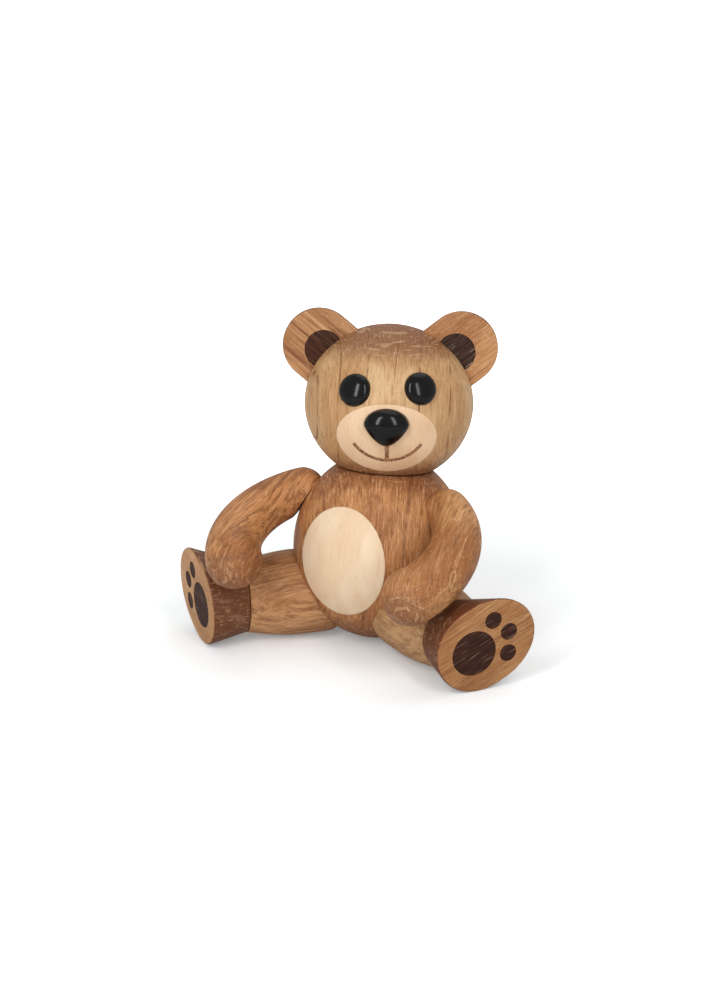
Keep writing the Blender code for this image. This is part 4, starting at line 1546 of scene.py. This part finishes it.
@dataclass
class Studio:
    """A pale floor with a painted shadow round the bear, soft light and the camera."""

    floor_size: float = 14.0
    floor_shade: float = 0.72
    floor_tone: Colour = (0.885, 0.915, 0.925)
    # The floor's light to the camera is low round the bear, a painted shadow pool, and rises to white
    # past the outer ring.
    floor_glow_and_painted_shadow: tuple[float, float, float] = (0.17, 0.1, 0.85)
    near_ring: tuple[float, float] = (0.07, 0.11)
    far_ring: tuple[float, float] = (0.105, 0.25)
    room_light: float = 0.57
    sun_light: float = 0.47
    sun_width_deg: float = 50.0
    sun_turn_deg: tuple[float, float, float] = (-24.0, 2.0, 0.0)
    strips: tuple[tuple[float, float], ...] = ((-6.0, 4.8), (50.0, 3.5))
    strip_size: tuple[float, float] = (0.15, 0.85)
    strip_reach: float = 0.9
    strip_slope: float = 0.6
    strip_lift: float = 0.06
    eye: tuple[float, float, float] = (0.3497, -0.7674, 0.3434)
    azimuth_deg: float = 25.0
    elevation_deg: float = 19.28
    lens: float = 93.6
    sensor: float = 36.0
    clip_start: float = 0.01

    def build(self) -> None:
        """Set the scene round the bear."""
        self.build_floor()
        self.build_world()
        self.build_lamps()
        self.build_camera()

    def hang(self, thing: bpy.types.ID) -> bpy.types.Object:
        """Put a lamp or a camera in the scene and give its object."""
        holder = bpy.data.objects.new(thing.name, thing)
        bpy.context.scene.collection.objects.link(holder)
        return holder

    def build_floor(self) -> None:
        """Lay the floor, which keeps the bear's shadow and adds a painted shadow: a darker pool round
        the bear, white to the camera farther out.
        """
        deselect_all()
        bpy.ops.mesh.primitive_grid_add(x_subdivisions=4, y_subdivisions=4, size=self.floor_size)
        floor = Blank("floor")
        graph = Graph("floor_white")
        seen = graph.node("LightPath", {}, {}, "Is Camera Ray")
        here = graph.node("TexCoord", {}, {}, "Object")
        reach = graph.vector("LENGTH", here, out="Value")
        # Painted shadow: within the inner ring only the first value shows, the second is added past it,
        # and the third past the outer ring, where the floor turns white.
        under, near, far = self.floor_glow_and_painted_shadow
        glow = seen * (
            under + near * graph.step(reach, *self.near_ring) + far * graph.step(reach, *self.far_ring)
        )
        shade = (self.floor_shade, self.floor_shade, self.floor_shade, 1.0)
        sockets = {0: seen, 6: shade, 7: (*self.floor_tone, 1.0)}
        tone = graph.node("Mix", {"data_type": "RGBA"}, sockets, 2)
        graph.feed(graph.shader.inputs["Emission Color"], glow)
        graph.shader.inputs["Emission Strength"].default_value = 1.0
        floor.dress(graph.close(tone, 0.9, shine=0.0))

    def build_world(self) -> None:
        """Give the room its soft light and the camera a white background."""
        world = bpy.data.worlds.new("room")
        bpy.context.scene.world = world
        world.use_nodes = True
        nodes = world.node_tree.nodes
        links = world.node_tree.links
        soft = nodes["Background"]
        white = nodes.new("ShaderNodeBackground")
        for shader, strength in ((soft, self.room_light), (white, 1.0)):
            shader.inputs["Color"].default_value = (1.0, 1.0, 1.0, 1.0)
            shader.inputs["Strength"].default_value = strength
        path = nodes.new("ShaderNodeLightPath")
        mix = nodes.new("ShaderNodeMixShader")
        links.new(path.outputs["Is Camera Ray"], mix.inputs[0])
        links.new(soft.outputs[0], mix.inputs[1])
        links.new(white.outputs[0], mix.inputs[2])
        links.new(mix.outputs[0], nodes["World Output"].inputs["Surface"])

    def build_lamps(self) -> None:
        """Hang a wide soft light overhead and an upright strip on either side of the camera."""
        sun = bpy.data.lights.new("overhead", "SUN")
        sun.energy = self.sun_light
        sun.angle = math.radians(self.sun_width_deg)
        self.hang(sun).rotation_euler = [math.radians(angle) for angle in self.sun_turn_deg]
        for turn_deg, energy in self.strips:
            turn = math.radians(turn_deg)
            strip = bpy.data.lights.new("strip", "AREA")
            strip.shape = "RECTANGLE"
            strip.size, strip.size_y = self.strip_size
            strip.energy = energy
            spot = Vector((math.sin(turn), -math.cos(turn), self.strip_slope)) * self.strip_reach
            holder = self.hang(strip)
            holder.location = spot + self.strip_lift * UP
            holder.rotation_euler = spot.to_track_quat("Z", "Y").to_euler()

    def build_camera(self) -> None:
        """Stand the camera where the photograph was taken from."""
        lens = bpy.data.cameras.new("camera")
        lens.lens = self.lens
        lens.sensor_width = self.sensor
        lens.clip_start = self.clip_start
        camera = self.hang(lens)
        camera.location = self.eye
        turn_deg = (90.0 - self.elevation_deg, 0.0, self.azimuth_deg)
        camera.rotation_euler = [math.radians(angle) for angle in turn_deg]
        bpy.context.scene.camera = camera
        bpy.context.scene.view_settings.view_transform = "Standard"


def dress_inner_pieces() -> None:
    """Give the dowels and the bushes inside their materials."""
    for name, node in frame["nodes"].items():
        kind = Beech() if "dowel" in name else BushRubber() if "bush" in name else None
        if kind is None:
            continue
        low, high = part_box(name)
        place = Matrix.Translation((low + high) / 2.0)
        node.data.materials.clear()
        node.data.materials.append(kind.dress(name + "_finish", place))
        log.info("%s: dressed", name)


def main() -> None:
    """Build the bear piece by piece, then the studio round it."""
    logging.basicConfig(level=logging.INFO, format="%(name)s: %(message)s")
    torso = Torso()
    arms = [
        Arm(torso, Side.LEFT, raise_deg=69.8, finish=ARM_OAKS[Side.LEFT]),
        Arm(torso, Side.RIGHT, raise_deg=73.5, finish=ARM_OAKS[Side.RIGHT]),
    ]
    legs = [
        Leg(Side.LEFT, roll_deg=64.7, finish=LEG_OAKS[Side.LEFT], foot_finish=FOOT_OAKS_RIGHT_PAINTED_LIGHTER[Side.LEFT]),
        Leg(Side.RIGHT, roll_deg=69.3, finish=LEG_OAKS[Side.RIGHT], foot_finish=FOOT_OAKS_RIGHT_PAINTED_LIGHTER[Side.RIGHT]),
    ]
    torso.build(arms, legs)
    Head(torso).build()
    for limb in (*arms, *legs):
        limb.build()
    dress_inner_pieces()
    Studio().build()


if __name__ == "__main__":
    main()
